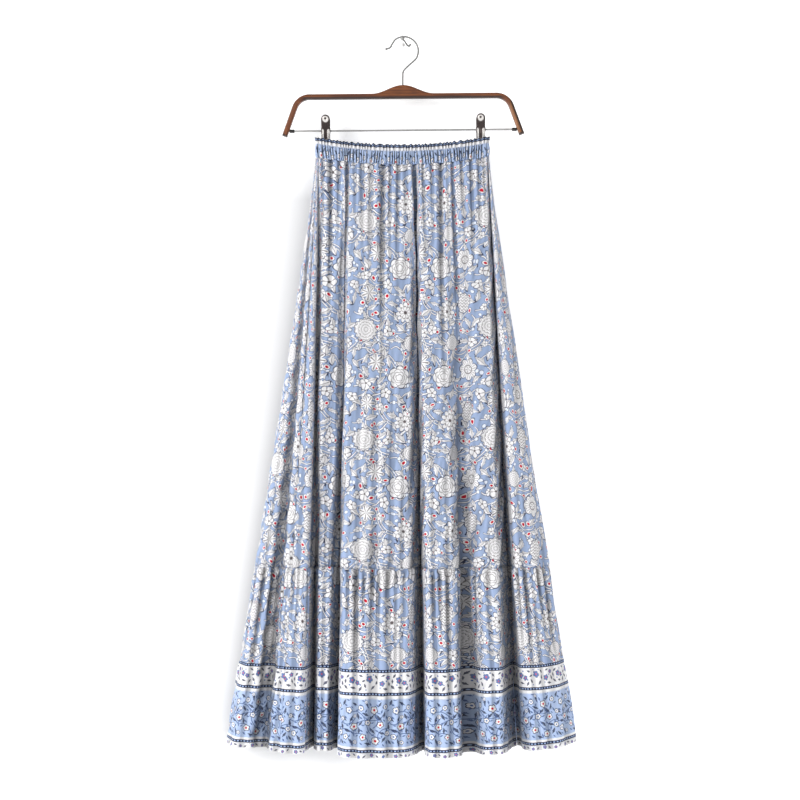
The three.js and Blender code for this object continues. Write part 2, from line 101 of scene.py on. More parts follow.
# Folds at the hem: a face from left to right stands out in front of the hanger's plane, and the valley
# after it lies at dip_at, dip in front of that plane. The threads of those three places hang from the
# waist at waists, measured round it.
FOLD_COLUMNS = ("left", "right", "out", "dip_at", "dip", "waists")
FRONT_FOLDS = [
    (-198, -166, 61, -147, -2, (-140, -138.8, -137.8)),
    (-139, -125, 30, -107, 2, (-130, -100, -92)),
    (-98, 6, 66, 34, 8, (-86, 13, 20)),
    (45, 84, 72, 110, 42, (27, 64, 84)),
    (138, 160, 63, 188, 6, (108, 136, 141)),
]
BACK_FOLDS = [
    (207, 246, 50, 288, 4, (143, 147, 152)),
    (262, 222, -34, 190, -18, (160, 184, 196)),
    (160, 120, -41, 88, -16, (206, 233, 244)),
    (56, 14, -42, -20, -18, (255, 283, 294)),
    (-50, -92, -41, -124, -16, (305, 335, 346)),
    (-156, -196, -40, -226, -18, (357, 384, 393)),
    (-250, -274, -26, -290, 4, (402, 420, 431)),
    (-274, -252, 46, -224, 26, (437, 441, 444)),
    (-213, -206, 56, -198, 61, (445.2, 446.2, 447.3)),
]

# Creases that hang from the waist. Each starts at waist and is depth deep and 2 half wide, with a crest
# lip high along its left side. It begins top down the panel and has faded out at foot.
CREASE_COLUMNS = ("waist", "depth", "half", "lip", "top", "foot")
FRONT_CREASES = [
    (-130, 4.0, 2.6, 1.5, 0, 120),
    (-117, 9.0, 3.6, 2.5, 0, 300),
    (-104, 4.0, 2.8, 1.5, 0, 130),
    (-91, 6.0, 2.6, 3.0, 0, 560),
    (-78, 2.5, 3.0, 1.0, 0, 110),
    (-66, 4.5, 3.2, 2.0, 0, 150),
    (-52, 3.0, 3.2, 1.5, 0, 240),
    (-31, 9.5, 4.4, 3.5, 0, 440),
    (-18, 3.5, 2.8, 1.5, 0, 170),
    (-6, 5.5, 3.4, 2.0, 0, 230),
    (7, 3.0, 2.8, 1.0, 0, 120),
    (20, 8.0, 3.2, 3.5, 0, 420),
    (34, 4.0, 3.0, 1.5, 0, 180),
    (48, 4.0, 3.2, 1.5, 0, 150),
    (62, 9.5, 4.2, 3.0, 0, 430),
    (73, 3.0, 2.8, 1.0, 0, 140),
    (83, 5.5, 3.2, 2.5, 0, 330),
    (97, 3.5, 3.0, 1.5, 0, 130),
    (111, 6.0, 3.4, 2.0, 0, 210),
    (124, 4.0, 3.0, 1.5, 0, 150),
    (134, 3.0, 2.8, 1.0, 0, 110),
]
BACK_CREASES = [
    (160, 4.0, 3.2, 1.5, 0, 220),
    (176, 6.5, 3.6, 2.0, 0, 420),
    (193, 3.5, 3.2, 1.5, 0, 180),
    (211, 7.0, 3.8, 2.5, 0, 380),
    (229, 4.0, 3.2, 1.5, 0, 210),
    (247, 6.5, 3.6, 2.0, 0, 440),
    (266, 4.5, 3.2, 1.5, 0, 240),
    (285, 7.0, 4.0, 2.5, 0, 400),
    (303, 4.0, 3.2, 1.5, 0, 190),
    (322, 6.5, 3.6, 2.0, 0, 430),
    (341, 4.0, 3.4, 1.5, 0, 230),
    (360, 7.0, 3.8, 2.5, 0, 370),
    (379, 4.0, 3.2, 1.5, 0, 210),
    (398, 6.5, 3.6, 2.0, 0, 410),
    (415, 4.0, 3.2, 1.5, 0, 260),
    (428, 5.0, 3.4, 2.0, 0, 320),
]
# Long hollows in the faces of the folds. Each is centred at a place along the hem, x, and is deepest at the
# hem, where it is 2 half wide. It begins top down the skirt.
HOLLOW_COLUMNS = ("x", "depth", "half", "top")
FRONT_HOLLOWS = [
    (-181, 5, 7, 420),
    (-132, 5, 5, 520),
    (-78, 6, 8, 260),
    (-50, 9, 10, 200),
    (-21, 8, 8, 300),
    (-3, 4, 5, 420),
    (56, 5, 6, 380),
    (81, 6, 7, 440),
    (110, 13, 14, 330),
    (150, 4, 5, 560),
]
BACK_HOLLOWS = [
    (222, 5, 7, 420),
    (240, 4, 6, 500),
    (-262, 5, 7, 380),
    (-238, 4, 6, 480),
]
# Creases in the flounce hang from its seam: x along the hem, as above
FLOUNCE_CREASES = [
    (-192, 4.5, 3.0, 1.5, 0, 120),
    (-160, 3.0, 3.0, 1.0, 0, 210),
    (-92, 4.0, 2.8, 1.5, 0, 130),
    (-79, 5.0, 3.2, 2.0, 0, 240),
    (-66, 5.0, 3.0, 2.0, 0, 110),
    (-51, 6.0, 3.2, 2.0, 0, 90),
    (-42, 5.0, 3.0, 2.0, 0, 220),
    (-27, 5.5, 3.4, 2.0, 0, 150),
    (-12, 4.5, 3.2, 2.0, 0, 260),
    (2, 3.5, 2.8, 1.5, 0, 130),
    (54, 5.0, 3.2, 2.0, 0, 160),
    (66, 6.0, 3.4, 2.0, 0, 120),
    (78, 4.5, 3.0, 1.5, 0, 240),
    (98, 6.0, 3.2, 2.0, 0, 100),
    (110, 6.0, 3.4, 2.0, 0, 170),
    (124, 4.5, 3.2, 1.5, 0, 130),
    (146, 4.0, 3.0, 1.5, 0, 200),
]
FLOUNCE_CREASE_STEP = 27

HEADING_HEIGHT = 10.5
CASING_GATHER_SPACING = 4.6
WAIST_GATHER_SPACING = 6.4
WAIST_GATHER_HEIGHT = 1.2
FLOUNCE_GATHER_SPACING = 7.5
FLOUNCE_GATHER_HEIGHT = 1.5
CLOTH_HALF = 0.4

# Painted shade of the folds, multiplied into the print: the power of the open light at heights down the
# skirt, and how much a painted highlight lightens a crest, up to the brightest that it may make the print
SHADE_DOWNS = (0, 250, 660, 963)
SHADE_POWERS = (0.3, 0.55, 1.0, 1.4)
HEADING_SHADE_POWER = 0.6
CASING_SHADE_POWER = 2.4
CREST_HIGHLIGHT = 0.3
CREST_REACH = 3
BRIGHTEST_PAINTED_LIGHT = 1.2
# The folds that can shade a point: so many columns to each side, and past a seam at this step of the ring
SKY_REACH = 46
SKY_STEP = 0.0022

# Hanger
BEAM_Z = -95
BEAM_HALF = 4.2
HUMP_RISE = 14
ARM_END_X = 195.7
ARM_END_Z = -159.4
ARM_SPLAY = math.radians(20)
WIRE_RADIUS = 1.3
HOOK_RADIUS = 23.7
HOOK_CENTRE = (2.3, -20.3)
HOOK_NECK_Z = -55
HOOK_SUNK = 11
HOOK_SWEEP = (-32, 128)
HOOK_TIP = [(-17, -8.5), (-20.6, -14.6), (-26.5, -16.5)]
HOOK_BALL_RADIUS = 2.0
BAR_Z = -151
BAR_RADIUS = 1.5
SLEEVE_RADIUS = 2.8
SLEEVE_AT = (179.4, 187.4)

# Clips. Heights are measured from the bar, and a jaw's sheet is given by how far it lies out from it.
CLIP_X = 127.8
CLIP_LEVER_HALF = 7.2
CLIP_JAW_HALF = 8.5
CLIP_TOP = 25.5
CLIP_BOTTOM = -27
CLIP_SHEET = 1
EAR_RADIUS = 4.5
EAR_APART = {"front": 7.2, "back": 5.6}
JAW_HEIGHTS = (-27, -14, -6, 0, 8, 25.5)
JAW_OUT = (2.0, 2.1, 3.4, 3.6, 4.9, 9.0)
SPRING_RADIUS = 2.9
SPRING_WIRE = 0.45
SPRING_TURNS = 5

# Wall peg
PEG_OUT = HANGER_OUT + 7
PEG_BALL_RADIUS = 3.7
PEG_RADIUS = 1.5
PEG_FLANGE_RADIUS = 4
PEG_FLANGE_THICK = 2
PEG_PAINT_OUT = 46
PEG_TAIL = [(0.5, -1.5), (5, -7.6), (8.8, -12.8), (11.4, -13.6), (13.2, -10.2)]
PEG_TAIL_RADIUS = 1.15

# Stitches
STITCH_LENGTH = 2.6
STITCH_GAP = 0.9
STITCH_HALF = 0.28

# Stage, in metres. The skirt's left edge is EDGE_LEFT from the middle at the peg and leans out below it.
ROOM_HALF = 2.6
ROOM_FRONT = -3.4
ROOM_TOP = 1.4
FLOOR_Z = -1.45
WALL_Y = 0.0006
EDGE_LEFT = 0.115
EDGE_LEAN = 0.15
CAMERA_X = -0.004
CAMERA_Z = -0.596
LIT_AT = (0, -0.05, -0.62)
KEY_AT = (-1.75, -2.25, 0.1)
KEY_WIDTH = 1.3
FILL_AT = (0.7, -2.9, 0.1)
FILL_WIDTH = 0.7


def rows_of(columns, table):
    return [dict(zip(columns, row)) for row in table]


# Rings of the cloth


def catmull_rom(points, samples):
    """A closed centripetal curve through points, at evenly spaced parameters."""
    count = len(points)
    at = np.arange(samples + 1) * (count / samples)
    first = np.floor(at).astype(int)
    part = (at - first)[:, None]
    before, start, end, after = (points[(first + shift) % count] for shift in (-1, 0, 1, 2))

    def step(a, b):
        return np.sqrt(np.linalg.norm(b - a, axis=1))[:, None]

    lead, middle, trail = step(before, start), step(start, end), step(end, after)
    slope_in = (start - before) / lead - (end - before) / (lead + middle) + (end - start) / middle
    slope_out = (end - start) / middle - (after - start) / (middle + trail) + (after - end) / trail
    slope_in = slope_in * middle
    slope_out = slope_out * middle
    square = -3 * start + 3 * end - 2 * slope_in - slope_out
    cube = 2 * start - 2 * end + slope_in + slope_out
    return start + slope_in * part + square * part**2 + cube * part**3


class Hem:
    """The hem's ring by its length. Share 0 is the left seam, and the front comes first."""

    SAMPLES = 3000
    POINTS_PER_FOLD = 3

    def __init__(self):
        folds = rows_of(FOLD_COLUMNS, FRONT_FOLDS + BACK_FOLDS)
        points = []
        for fold in folds:
            points.append((fold["left"], -fold["out"]))
            points.append((fold["right"], -fold["out"]))
            points.append((fold["dip_at"], -fold["dip"]))
        points = np.array(points[:-1], float)
        self.ring = catmull_rom(points, self.SAMPLES)
        steps = np.linalg.norm(np.diff(self.ring, axis=0), axis=1)
        lengths = np.concatenate([[0], np.cumsum(steps)])
        self.total = lengths[-1]
        self.shares = lengths / self.total
        at = np.round(np.arange(len(points) + 1) / len(points) * self.SAMPLES).astype(int)
        self.knots = self.shares[at]
        self.waists = np.array([waist for fold in folds for waist in fold["waists"]], float)
        self.right_seam = self.knots[self.POINTS_PER_FOLD * len(FRONT_FOLDS) - 1]

    def at(self, share):
        turn = share % 1.0
        x = np.interp(turn, self.shares, self.ring[:, 0])
        y = np.interp(turn, self.shares, self.ring[:, 1])
        return x, y

    def waist(self, share):
        return np.interp(share % 1.0, self.knots, self.waists)

    def share_of_waist(self, waist):
        return np.interp(waist, self.waists, self.knots)


HEM = Hem()
SIDES = {"front": (0.0, HEM.right_seam), "back": (HEM.right_seam, 1.0 - 1e-9)}


def waist_point(share):
    half = WAIST_HALF - WAIST_END_REACH
    depth = WAIST_END_DEPTH
    end_length = math.pi * (WAIST_END_REACH + depth) / 2
    along = HEM.waist(share)
    along = np.where(along < -half, along + 4 * half + 2 * end_length, along)
    on_back = along - half - end_length
    right_turn = math.pi * (along - half) / end_length
    left_turn = math.pi * (on_back - 2 * half) / end_length
    back_x = half - on_back
    slack = np.clip(1 - (back_x / WAIST_BACK_SLACK_HALF) ** 2, 0, None) ** 2 * WAIST_BACK_SLACK
    where = [on_back > 2 * half, on_back > 0, along > half]
    x = np.select(
        where,
        [-half - WAIST_END_REACH * np.sin(left_turn), back_x, half + WAIST_END_REACH * np.sin(right_turn)],
        along,
    )
    y = np.select(
        where,
        [-depth + depth * np.cos(left_turn), slack, -depth - depth * np.cos(right_turn)],
        -2 * depth,
    )
    return x, y, waist_top(x) - BAND_HEIGHT


def waist_top(x):
    return BAND_TOP_Z + WAIST_TILT * x - WAIST_SAG * (1 - (x / WAIST_HALF) ** 2)


def cloth_point(share, down):
    """The smooth cloth, share round the skirt and down from the waistband, about the hanger's plane."""
    top_x, top_y, top_z = waist_point(share)
    foot_x, foot_y = HEM.at(share)
    part = np.clip(down, 0, None) / CLOTH_LENGTH
    foot_z = HEM_Z + HEM_RISE * (foot_x / HEM_RISE_AT) ** 2
    x = top_x + (foot_x - top_x) * part**SPREAD_GROWTH
    y = top_y + (foot_y - top_y) * part**DEPTH_GROWTH
    upper = top_z + (TIER_Z - top_z) * down / PANEL_LENGTH
    lower = TIER_Z + (foot_z - TIER_Z) * (down - PANEL_LENGTH) / FLOUNCE_LENGTH
    return np.stack([x, y, np.where(down < PANEL_LENGTH, upper, lower)], -1)


def band_point(share, down):
    x, y, z = waist_point(share)
    waist = HEM.waist(share)
    ruffled = np.clip(1 - down / HEADING_HEIGHT, 0, 1)
    ruffle = 0.9 * np.sin(2 * math.pi * uneven(waist, 7.4, 2.0)) + 0.5 * np.sin(waist / 1.9 + 1.0)
    return np.stack([x + 0 * down, y + 0 * down, z + BAND_HEIGHT - down + ruffled * ruffle], -1)


class Wall:
    """The smooth middle of one side's cloth, over a grid of shares and heights, before it is creased."""

    def __init__(self, side, middle, shares, downs):
        self.side = side
        self.middle = middle
        self.shares = shares
        self.share, self.down = np.meshgrid(shares, downs)
        self.points = middle(self.share, self.down)
        along = np.gradient(self.points, axis=1)
        fall = np.gradient(self.points, axis=0)
        normal = np.cross(fall, along)
        self.normal = normal / np.linalg.norm(normal, axis=2)[..., None]
        steps = np.linalg.norm(np.diff(self.points, axis=1), axis=2)
        self.place = np.concatenate([np.zeros((len(downs), 1)), np.cumsum(steps, axis=1)], axis=1)

    def off(self, share):
        """How far each point is from a thread, to the right of it, in millimetres along its row."""
        thread = [np.interp(share, self.shares, row) for row in self.place]
        return self.place - np.array(thread)[:, None]

    def share_at_hem(self, x):
        """The thread that ends at a place x of the hem, on the half of the ring that faces out."""
        ring_x, _ = HEM.at(self.shares)
        if self.side == "front":
            return np.interp(x, ring_x, self.shares)
        turn = int(np.argmax(ring_x)) if x > 0 else int(np.argmin(ring_x))
        near = slice(0, turn) if x > 0 else slice(turn, None)
        return np.interp(x, ring_x[near], self.shares[near])


def scatter(index, salt):
    """A steady scattered number from 0 to 1 for each whole index."""
    return np.modf(np.abs(np.sin(index * 12.9898 + salt * 78.233) * 43758.5453))[0]


def uneven(place, spacing, salt):
    """A count of gathers along a place, with the gathers unevenly wide."""
    shift = 0.32 * np.sin(place / spacing * 1.07 + salt) + 0.45 * np.sin(place / spacing * 0.31 + 2.1 * salt)
    return place / spacing + shift


def gathers(count, sharpness=0.75):
    """Round ridges with narrow valleys between them, from 0 in a valley to 1 on a ridge."""
    return np.abs(np.sin(math.pi * count)) ** sharpness


def fall_off(away):
    return np.exp(-(away**2))


def fade(down, top, foot):
    """1 where a crease begins, and 0 from its foot down."""
    part = np.clip((down - top) / (foot - top), 0, 1)
    return (1 - part**1.6) ** 1.3


def crease(off, strength, row):
    """A sharp valley with a crest along its left side, as light thin cloth falls."""
    valley = row["depth"] * fall_off(off / row["half"])
    crest = row["lip"] * fall_off((off + 2.1 * row["half"]) / (1.3 * row["half"]))
    return strength * (crest - valley)


def hollows(wall, table):
    relief = 0
    for row in rows_of(HOLLOW_COLUMNS, table):
        part = np.clip((wall.down - row["top"]) / (CLOTH_LENGTH - row["top"]), 0, 1)
        half = row["half"] * (0.45 + 0.55 * part)
        relief = relief - row["depth"] * part**0.7 * fall_off(wall.off(wall.share_at_hem(row["x"])) / half)
    return relief


# Across and along in millimetres, and height
SOFT_WAVES = ((38, 410, 1.7), (23, 260, 0.8), (13, 170, 0.3), (7.5, 90, 0.12))


def soft_waves(place, down, salt):
    """Slow, slight waves of thin cloth, long down the threads and short across them."""
    total = 0
    for k, (across, along, height) in enumerate(SOFT_WAVES):
        phase = 2 * math.pi * scatter(k + 1.0, salt)
        wander = 1.3 * np.sin(down / along * 2.1 + phase)
        side_to_side = np.sin(place / across * 2 * math.pi + wander + phase)
        total = total + height * side_to_side * np.cos(down / along + phase)
    return total


def creases_of(side):
    return {"front": FRONT_CREASES, "back": BACK_CREASES}[side]


def hollows_of(side):
    return {"front": FRONT_HOLLOWS, "back": BACK_HOLLOWS}[side]


def panel_relief(wall):
    side, down = wall.side, wall.down
    salt = 1.0 if side == "front" else 4.0
    waist = HEM.waist(wall.share)
    count = uneven(waist, WAIST_GATHER_SPACING, salt)
    which = np.floor(count)
    lasts = 22 + 95 * scatter(which, salt) ** 2
    height = WAIST_GATHER_HEIGHT * (0.5 + 0.7 * scatter(which, salt + 1)) * np.exp(-down / lasts)
    relief = height * (gathers(count) - 0.5) * 2
    for row in rows_of(CREASE_COLUMNS, creases_of(side)):
        off = wall.off(HEM.share_of_waist(row["waist"])) + 1.2 * np.sin(down / 80 + row["waist"])
        relief = relief + crease(off, fade(down, row["top"], row["foot"]), row)
    relief = relief + hollows(wall, hollows_of(side))
    relief = relief + np.clip(down / 150, 0, 1) * soft_waves(wall.place, down, salt)
    above_tier = (PANEL_LENGTH - down) / 16
    pucker = 0.7 * np.sin(2 * math.pi * uneven(wall.place, FLOUNCE_GATHER_SPACING, salt + 2))
    relief = relief + pucker * np.exp(-above_tier)
    return relief - seam_dip(down, PANEL_LENGTH) - side_seam_dip(wall)


def flounce_creases(wall):
    """The creases of the flounce: listed on the front, and at a step with scattered sizes on the back."""
    if wall.side == "front":
        return [(wall.share_at_hem(row[0]), row) for row in FLOUNCE_CREASES]
    start, end = SIDES["back"]
    count = int((end - start) * HEM.total / FLOUNCE_CREASE_STEP)
    rows = []
    for k in range(count):
        share = start + (end - start) * (k + 0.5 + 0.6 * (scatter(k + 1.0, 7.0) - 0.5)) / count
        depth = 3.5 + 2.5 * scatter(k + 1.0, 8.0)
        rows.append((share, (0, depth, 3.2, 0.35 * depth, 0, 90 + 170 * scatter(k + 1.0, 9.0))))
    return rows


def flounce_relief(wall):
    salt = 2.0 if wall.side == "front" else 5.0
    below = wall.down - PANEL_LENGTH
    count = uneven(wall.place, FLOUNCE_GATHER_SPACING, salt)
    which = np.floor(count)
    lasts = 14 + 50 * scatter(which, salt) ** 2
    height = FLOUNCE_GATHER_HEIGHT * (0.5 + 0.6 * scatter(which, salt + 1)) * np.exp(-below / lasts)
    rise = np.clip(below / 5, 0.35, 1)
    relief = height * rise * (gathers(count) - 0.45) * 2
    for share, row in flounce_creases(wall):
        row = dict(zip(CREASE_COLUMNS, row))
        relief = relief + crease(wall.off(share), rise * fade(below, row["top"], row["foot"]), row)
    relief = relief + hollows(wall, hollows_of(wall.side))
    relief = relief + (0.5 + 0.35 * below / FLOUNCE_LENGTH) * soft_waves(wall.place, wall.down, salt)
    hem_ripple = 1.3 * np.sin(wall.place / 23 + salt) + 0.5 * np.sin(wall.place / 9.7 + 2 * salt)
    relief = relief + hem_ripple * np.clip((below - 150) / 153, 0, 1) ** 2
    return relief - seam_dip(wall.down, PANEL_LENGTH) - side_seam_dip(wall)


def seam_dip(down, at):
    return 1.1 * fall_off((down - at) / 3.0)


def side_seam_dip(wall):
    away = np.minimum(wall.place, wall.place[:, -1:] - wall.place)
    return 0.9 * fall_off(away / 2.2)


def band_relief(wall):
    share, down = wall.share, wall.down
    waist = HEM.waist(share)
    salt = 3.0 if wall.side == "front" else 6.0
    into_casing = np.clip((down - HEADING_HEIGHT) / (BAND_HEIGHT - HEADING_HEIGHT), 0, 1)
    lean = 1.9 * np.sin(waist / 31 + salt) * into_casing + 0.5 * np.sin(waist / 8 + down / 9 + salt)
    count = uneven(waist + lean, CASING_GATHER_SPACING, salt)
    which = np.floor(count)
    strength = 0.45 + 0.8 * scatter(which, salt)
    in_casing = np.sin(math.pi * into_casing)
    casing = 2.6 * strength * (gathers(count, 0.6) - 0.55) * (0.6 + 0.6 * in_casing) + 1.1 * in_casing
    flute = uneven(waist, 1.25 * CASING_GATHER_SPACING, salt + 2)
    above = np.clip((HEADING_HEIGHT - down) / HEADING_HEIGHT, 0, 1)
    heading = (0.9 + 1.3 * above) * np.sin(2 * math.pi * flute) + 0.6 * above * np.sin(waist / 17 + salt)
    stitch_line = 0.9 * fall_off((down - HEADING_HEIGHT) / 1.1) + 0.8 * fall_off((down - BAND_HEIGHT) / 1.6)
    relief = np.where(down < HEADING_HEIGHT, heading, casing) - stitch_line
    if wall.side == "front":
        return relief
    x = waist_point(share)[0]
    away = np.abs(np.abs(x) - CLIP_X) / (2 * CLIP_JAW_HALF)
    free = np.clip((away - 0.5) / 0.5, 0, 1)
    return relief * free**2 * (3 - 2 * free)


# Meshes

# The outside of each piece of cloth and the heights of its rows, for the stitches on it
OUTSIDES = {}
DOWNS = {}


def material_faces(mesh, materials, indices):
    for material in materials:
        mesh.materials.append(material)
    mesh.polygons.foreach_set("material_index", indices)


def new_piece(name, vertices, faces, smooth=True):
    mesh = bpy.data.meshes.new(name)
    mesh.from_pydata(np.asarray(vertices).tolist(), [], np.asarray(faces).tolist())
    if smooth:
        mesh.polygons.foreach_set("use_smooth", [True] * len(mesh.polygons))
    mesh.update()
    piece = bpy.data.objects.new(name, mesh)
    bpy.context.scene.collection.objects.link(piece)
    return piece


def grid_faces(rows, columns):
    corner = np.arange(rows * columns).reshape(rows, columns)
    quads = np.stack([corner[:-1, :-1], corner[1:, :-1], corner[1:, 1:], corner[:-1, 1:]], -1)
    return quads.reshape(-1, 4)


def shell_faces(rows, columns):
    """Faces of a closed wall between an outer and an inner grid: outer, inner, then the rim."""
    outer = grid_faces(rows, columns)
    inner = outer[:, ::-1] + rows * columns
    corner = np.arange(rows * columns).reshape(rows, columns)
    loop = np.concatenate([corner[0, :-1], corner[:-1, -1], corner[-1, :0:-1], corner[:0:-1, 0]])
    after = np.roll(loop, -1)
    rim = np.stack([loop, after, after + rows * columns, loop + rows * columns], -1)
    return outer, inner, rim


def open_sky(wall, points):
    """The share of the light that gets past the folds on both sides of each point."""
    reach = SKY_REACH
    columns = wall.share.shape[1]
    before = wall.shares[0] - np.arange(reach, 0, -1) * SKY_STEP
    after = wall.shares[-1] + np.arange(1, reach + 1) * SKY_STEP
    edges = [wall.middle(*np.meshgrid(shares, wall.down[:, 0])) for shares in (before, after)]
    ring = np.concatenate([edges[0], points, edges[1]], axis=1)[..., :2]
    along = np.gradient(points[..., :2], axis=1)
    normal = np.stack([along[..., 1], -along[..., 0]], -1)
    normal /= np.linalg.norm(normal, axis=2)[..., None]
    normal *= np.sign((normal * wall.normal[..., :2]).sum(-1))[..., None]
    seen = 0
    for direction in (-1, 1):
        highest = np.zeros(wall.share.shape)
        for step in range(1, reach + 1):
            first = reach + direction * step
            towards = ring[:, first : first + columns] - points[..., :2]
            rise = (towards * normal).sum(-1) / (np.linalg.norm(towards, axis=2) + 1e-6)
            highest = np.maximum(highest, rise)
        seen = seen + np.sqrt(1 - highest**2) / 2
    return seen


def standing_out(wall, points):
    """How far each point stands out from its neighbours on both sides, in millimetres."""
    reach = CREST_REACH
    wide = np.pad(points, ((0, 0), (reach, reach), (0, 0)), mode="reflect", reflect_type="odd")
    between = (wide[:, : -2 * reach] + wide[:, 2 * reach :]) / 2
    return ((points - between) * wall.normal).sum(-1)


def cloth_piece(kind, wall, relief, print_place, shade_power):
    """A wall of printed cloth on a side of the skirt, with its flat cloth as its UV map."""
    name = f"{kind}_cloth_{wall.side}"
    raised = relief(wall)
    points = wall.points + wall.normal * raised[..., None]
    # Painted shade and painted highlight: the print is darkened where the folds keep the light off, and
    # lightened along each crest
    crest_highlight = 1 + CREST_HIGHLIGHT * np.clip(standing_out(wall, points), -0.6, 1)
    shade = np.minimum(open_sky(wall, points) ** shade_power[:, None] * crest_highlight, BRIGHTEST_PAINTED_LIGHT)
    outer = points + wall.normal * CLOTH_HALF
    inner = points - wall.normal * CLOTH_HALF
    vertices = np.concatenate([outer.reshape(-1, 3), inner.reshape(-1, 3)])
    vertices[:, 1] -= HANGER_OUT
    faces = shell_faces(*wall.share.shape)
    piece = new_piece(name, vertices * MM, np.concatenate(faces))
    place = np.stack(print_place(wall), -1).reshape(-1, 2) * MM
    place = np.concatenate([place, place])
    layer = piece.data.uv_layers.new(name="flat_cloth")
    corners = np.empty(len(piece.data.loops), int)
    piece.data.loops.foreach_get("vertex_index", corners)
    layer.data.foreach_set("uv", place[corners].ravel())
    reverse = np.concatenate([np.zeros(len(faces[0])), np.ones(len(faces[1])), np.zeros(len(faces[2]))])
    piece.data.attributes.new("reverse", "FLOAT", "FACE").data.foreach_set("value", reverse)
    piece.data.materials.append(shared_material(f"printed_{kind}", lambda: printed_cloth(kind)))
    shade = np.concatenate([shade.ravel(), shade.ravel()])
    piece.data.attributes.new("fold_shade", "FLOAT", "POINT").data.foreach_set("value", shade)
    DOWNS[kind] = wall.down[:, 0]
    OUTSIDES[name] = outer.reshape(*wall.share.shape, 3) - np.array([0, HANGER_OUT, 0])
    return piece


def even_columns(side, count, waist_weight):
    """Shares across a side, spaced partly evenly at the waist and partly evenly at the hem."""
    start, end = SIDES[side]
    shares = np.linspace(start, end, 4000)
    waist = HEM.waist(shares)
    blend = waist_weight * (waist - waist[0]) / (waist[-1] - waist[0])
    blend += (1 - waist_weight) * (shares - start) / (end - start)
    return np.interp(np.linspace(0, 1, count), blend, shares)


def settle(piece, kind, side, width):
    """Attaches a piece of cloth to the hanger's body and hides the part of the model that it stands for. The
    width is not used.
    """
    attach(piece, BODY)
    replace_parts(piece, f"{kind}_{side}")
    width * MM


def hanging_cloth(kind, side, columns, downs, relief, shift):
    """A piece whose threads hang straight down to its lower edge, gathered onto the piece above."""
    wall = Wall(side, cloth_point, columns, downs)

    def print_place(wall):
        return wall.place[-1:] + shift[0] + 0 * wall.place, CLOTH_LENGTH - wall.down + shift[1]

    shade_power = np.interp(downs, SHADE_DOWNS, SHADE_POWERS)
    piece = cloth_piece(kind, wall, relief, print_place, shade_power)
    settle(piece, kind, side, wall.place[-1, -1])


def lathed(profile, sides):
    """Vertices and faces of a shape turned about the y axis, from a profile of radius and y."""
    turn = np.arange(sides) * (2 * math.pi / sides)
    rings = [np.stack([r * np.cos(turn), 0 * turn + y, r * np.sin(turn)], -1) for r, y in profile]
    vertices = np.concatenate(rings)
    corner = np.arange(len(profile) * sides).reshape(len(profile), sides)
    after = np.roll(corner, -1, axis=1)
    quads = np.stack([corner[:-1], corner[1:], after[1:], after[:-1]], -1)
    return vertices, quads.reshape(-1, 4)


def tidy_mesh(piece):
    """Merges doubles and turns the faces outwards."""
    mesh = bmesh.new()
    mesh.from_mesh(piece.data)
    bmesh.ops.remove_doubles(mesh, verts=mesh.verts, dist=1e-7)
    bmesh.ops.recalc_face_normals(mesh, faces=mesh.faces)
    mesh.to_mesh(piece.data)
    mesh.free()
    return piece


def hung(points):
    """Points of the hanger, in millimetres in its own plane, as it hangs, in metres."""
    x, y, z = np.asarray(points, float).T
    cos, sin = math.cos(HANGER_TILT), math.sin(HANGER_TILT)
    return np.stack([x * cos - z * sin, y - HANGER_OUT, x * sin + z * cos], -1) * MM


# Wires and stitches, by Geometry Nodes


class Tree:
    """A Geometry Nodes tree while it is built, with named inputs for its sizes."""

    def __init__(self, name, inputs):
        self.tree = bpy.data.node_groups.new(name, "GeometryNodeTree")
        self.tree.is_modifier = True
        self.tree.interface.new_socket("Geometry", in_out="INPUT", socket_type="NodeSocketGeometry")
        self.tree.interface.new_socket("Geometry", in_out="OUTPUT", socket_type="NodeSocketGeometry")
        self.ids = {}
        for label, kind in inputs.items():
            item = self.tree.interface.new_socket(label, in_out="INPUT", socket_type=f"NodeSocket{kind}")
            self.ids[label] = item.identifier
        self.given = self.tree.nodes.new("NodeGroupInput").outputs
        self.result = self.tree.nodes.new("NodeGroupOutput").inputs

    def add(self, kind, values=(), output=0, **settings):
        node = self.tree.nodes.new(f"GeometryNode{kind}")
        for key, value in settings.items():
            setattr(node, key, value)
        for key, value in dict(values).items():
            socket = [s for s in node.inputs if s.name == key and s.enabled][0]
            if isinstance(value, bpy.types.NodeSocket):
                self.tree.links.new(value, socket)
            else:
                socket.default_value = value
        return node.outputs[output]

    def close(self, geometry):
        real = self.add("RealizeInstances", {"Geometry": geometry})
        smooth = self.add("SetShadeSmooth", {"Geometry": real})
        done = self.add("SetMaterial", {"Geometry": smooth, "Material": self.given["Material"]})
        self.tree.links.new(done, self.result["Geometry"])

    def made(self, name, points, values):
        """A plain mesh of the tree's result along a path of points in metres."""
        path = bpy.data.meshes.new(name)
        path.from_pydata([tuple(point) for point in points], [(i, i + 1) for i in range(len(points) - 1)], [])
        holder = bpy.data.objects.new(name, path)
        bpy.context.scene.collection.objects.link(holder)
        modifier = holder.modifiers.new(name, "NODES")
        modifier.node_group = self.tree
        for label, value in values.items():
            modifier[self.ids[label]] = value
        evaluated = holder.evaluated_get(bpy.context.evaluated_depsgraph_get())
        mesh = bpy.data.meshes.new_from_object(evaluated)
        bpy.data.objects.remove(holder)
        mesh.name = name
        piece = bpy.data.objects.new(name, mesh)
        bpy.context.scene.collection.objects.link(piece)
        return piece


def wire_tree():
    """A round wire along a path, with closed ends."""
    made = Tree("wire_along_path", {"Radius": "Float", "Step": "Float", "Material": "Material"})
    curve = made.add("MeshToCurve", {"Mesh": made.given["Geometry"]})
    even = made.add("ResampleCurve", {"Curve": curve, "Length": made.given["Step"]}, mode="LENGTH")
    ring = made.add("CurvePrimitiveCircle", {"Resolution": 12, "Radius": made.given["Radius"]})
    made.close(made.add("CurveToMesh", {"Curve": even, "Profile Curve": ring, "Fill Caps": True}))
    return made


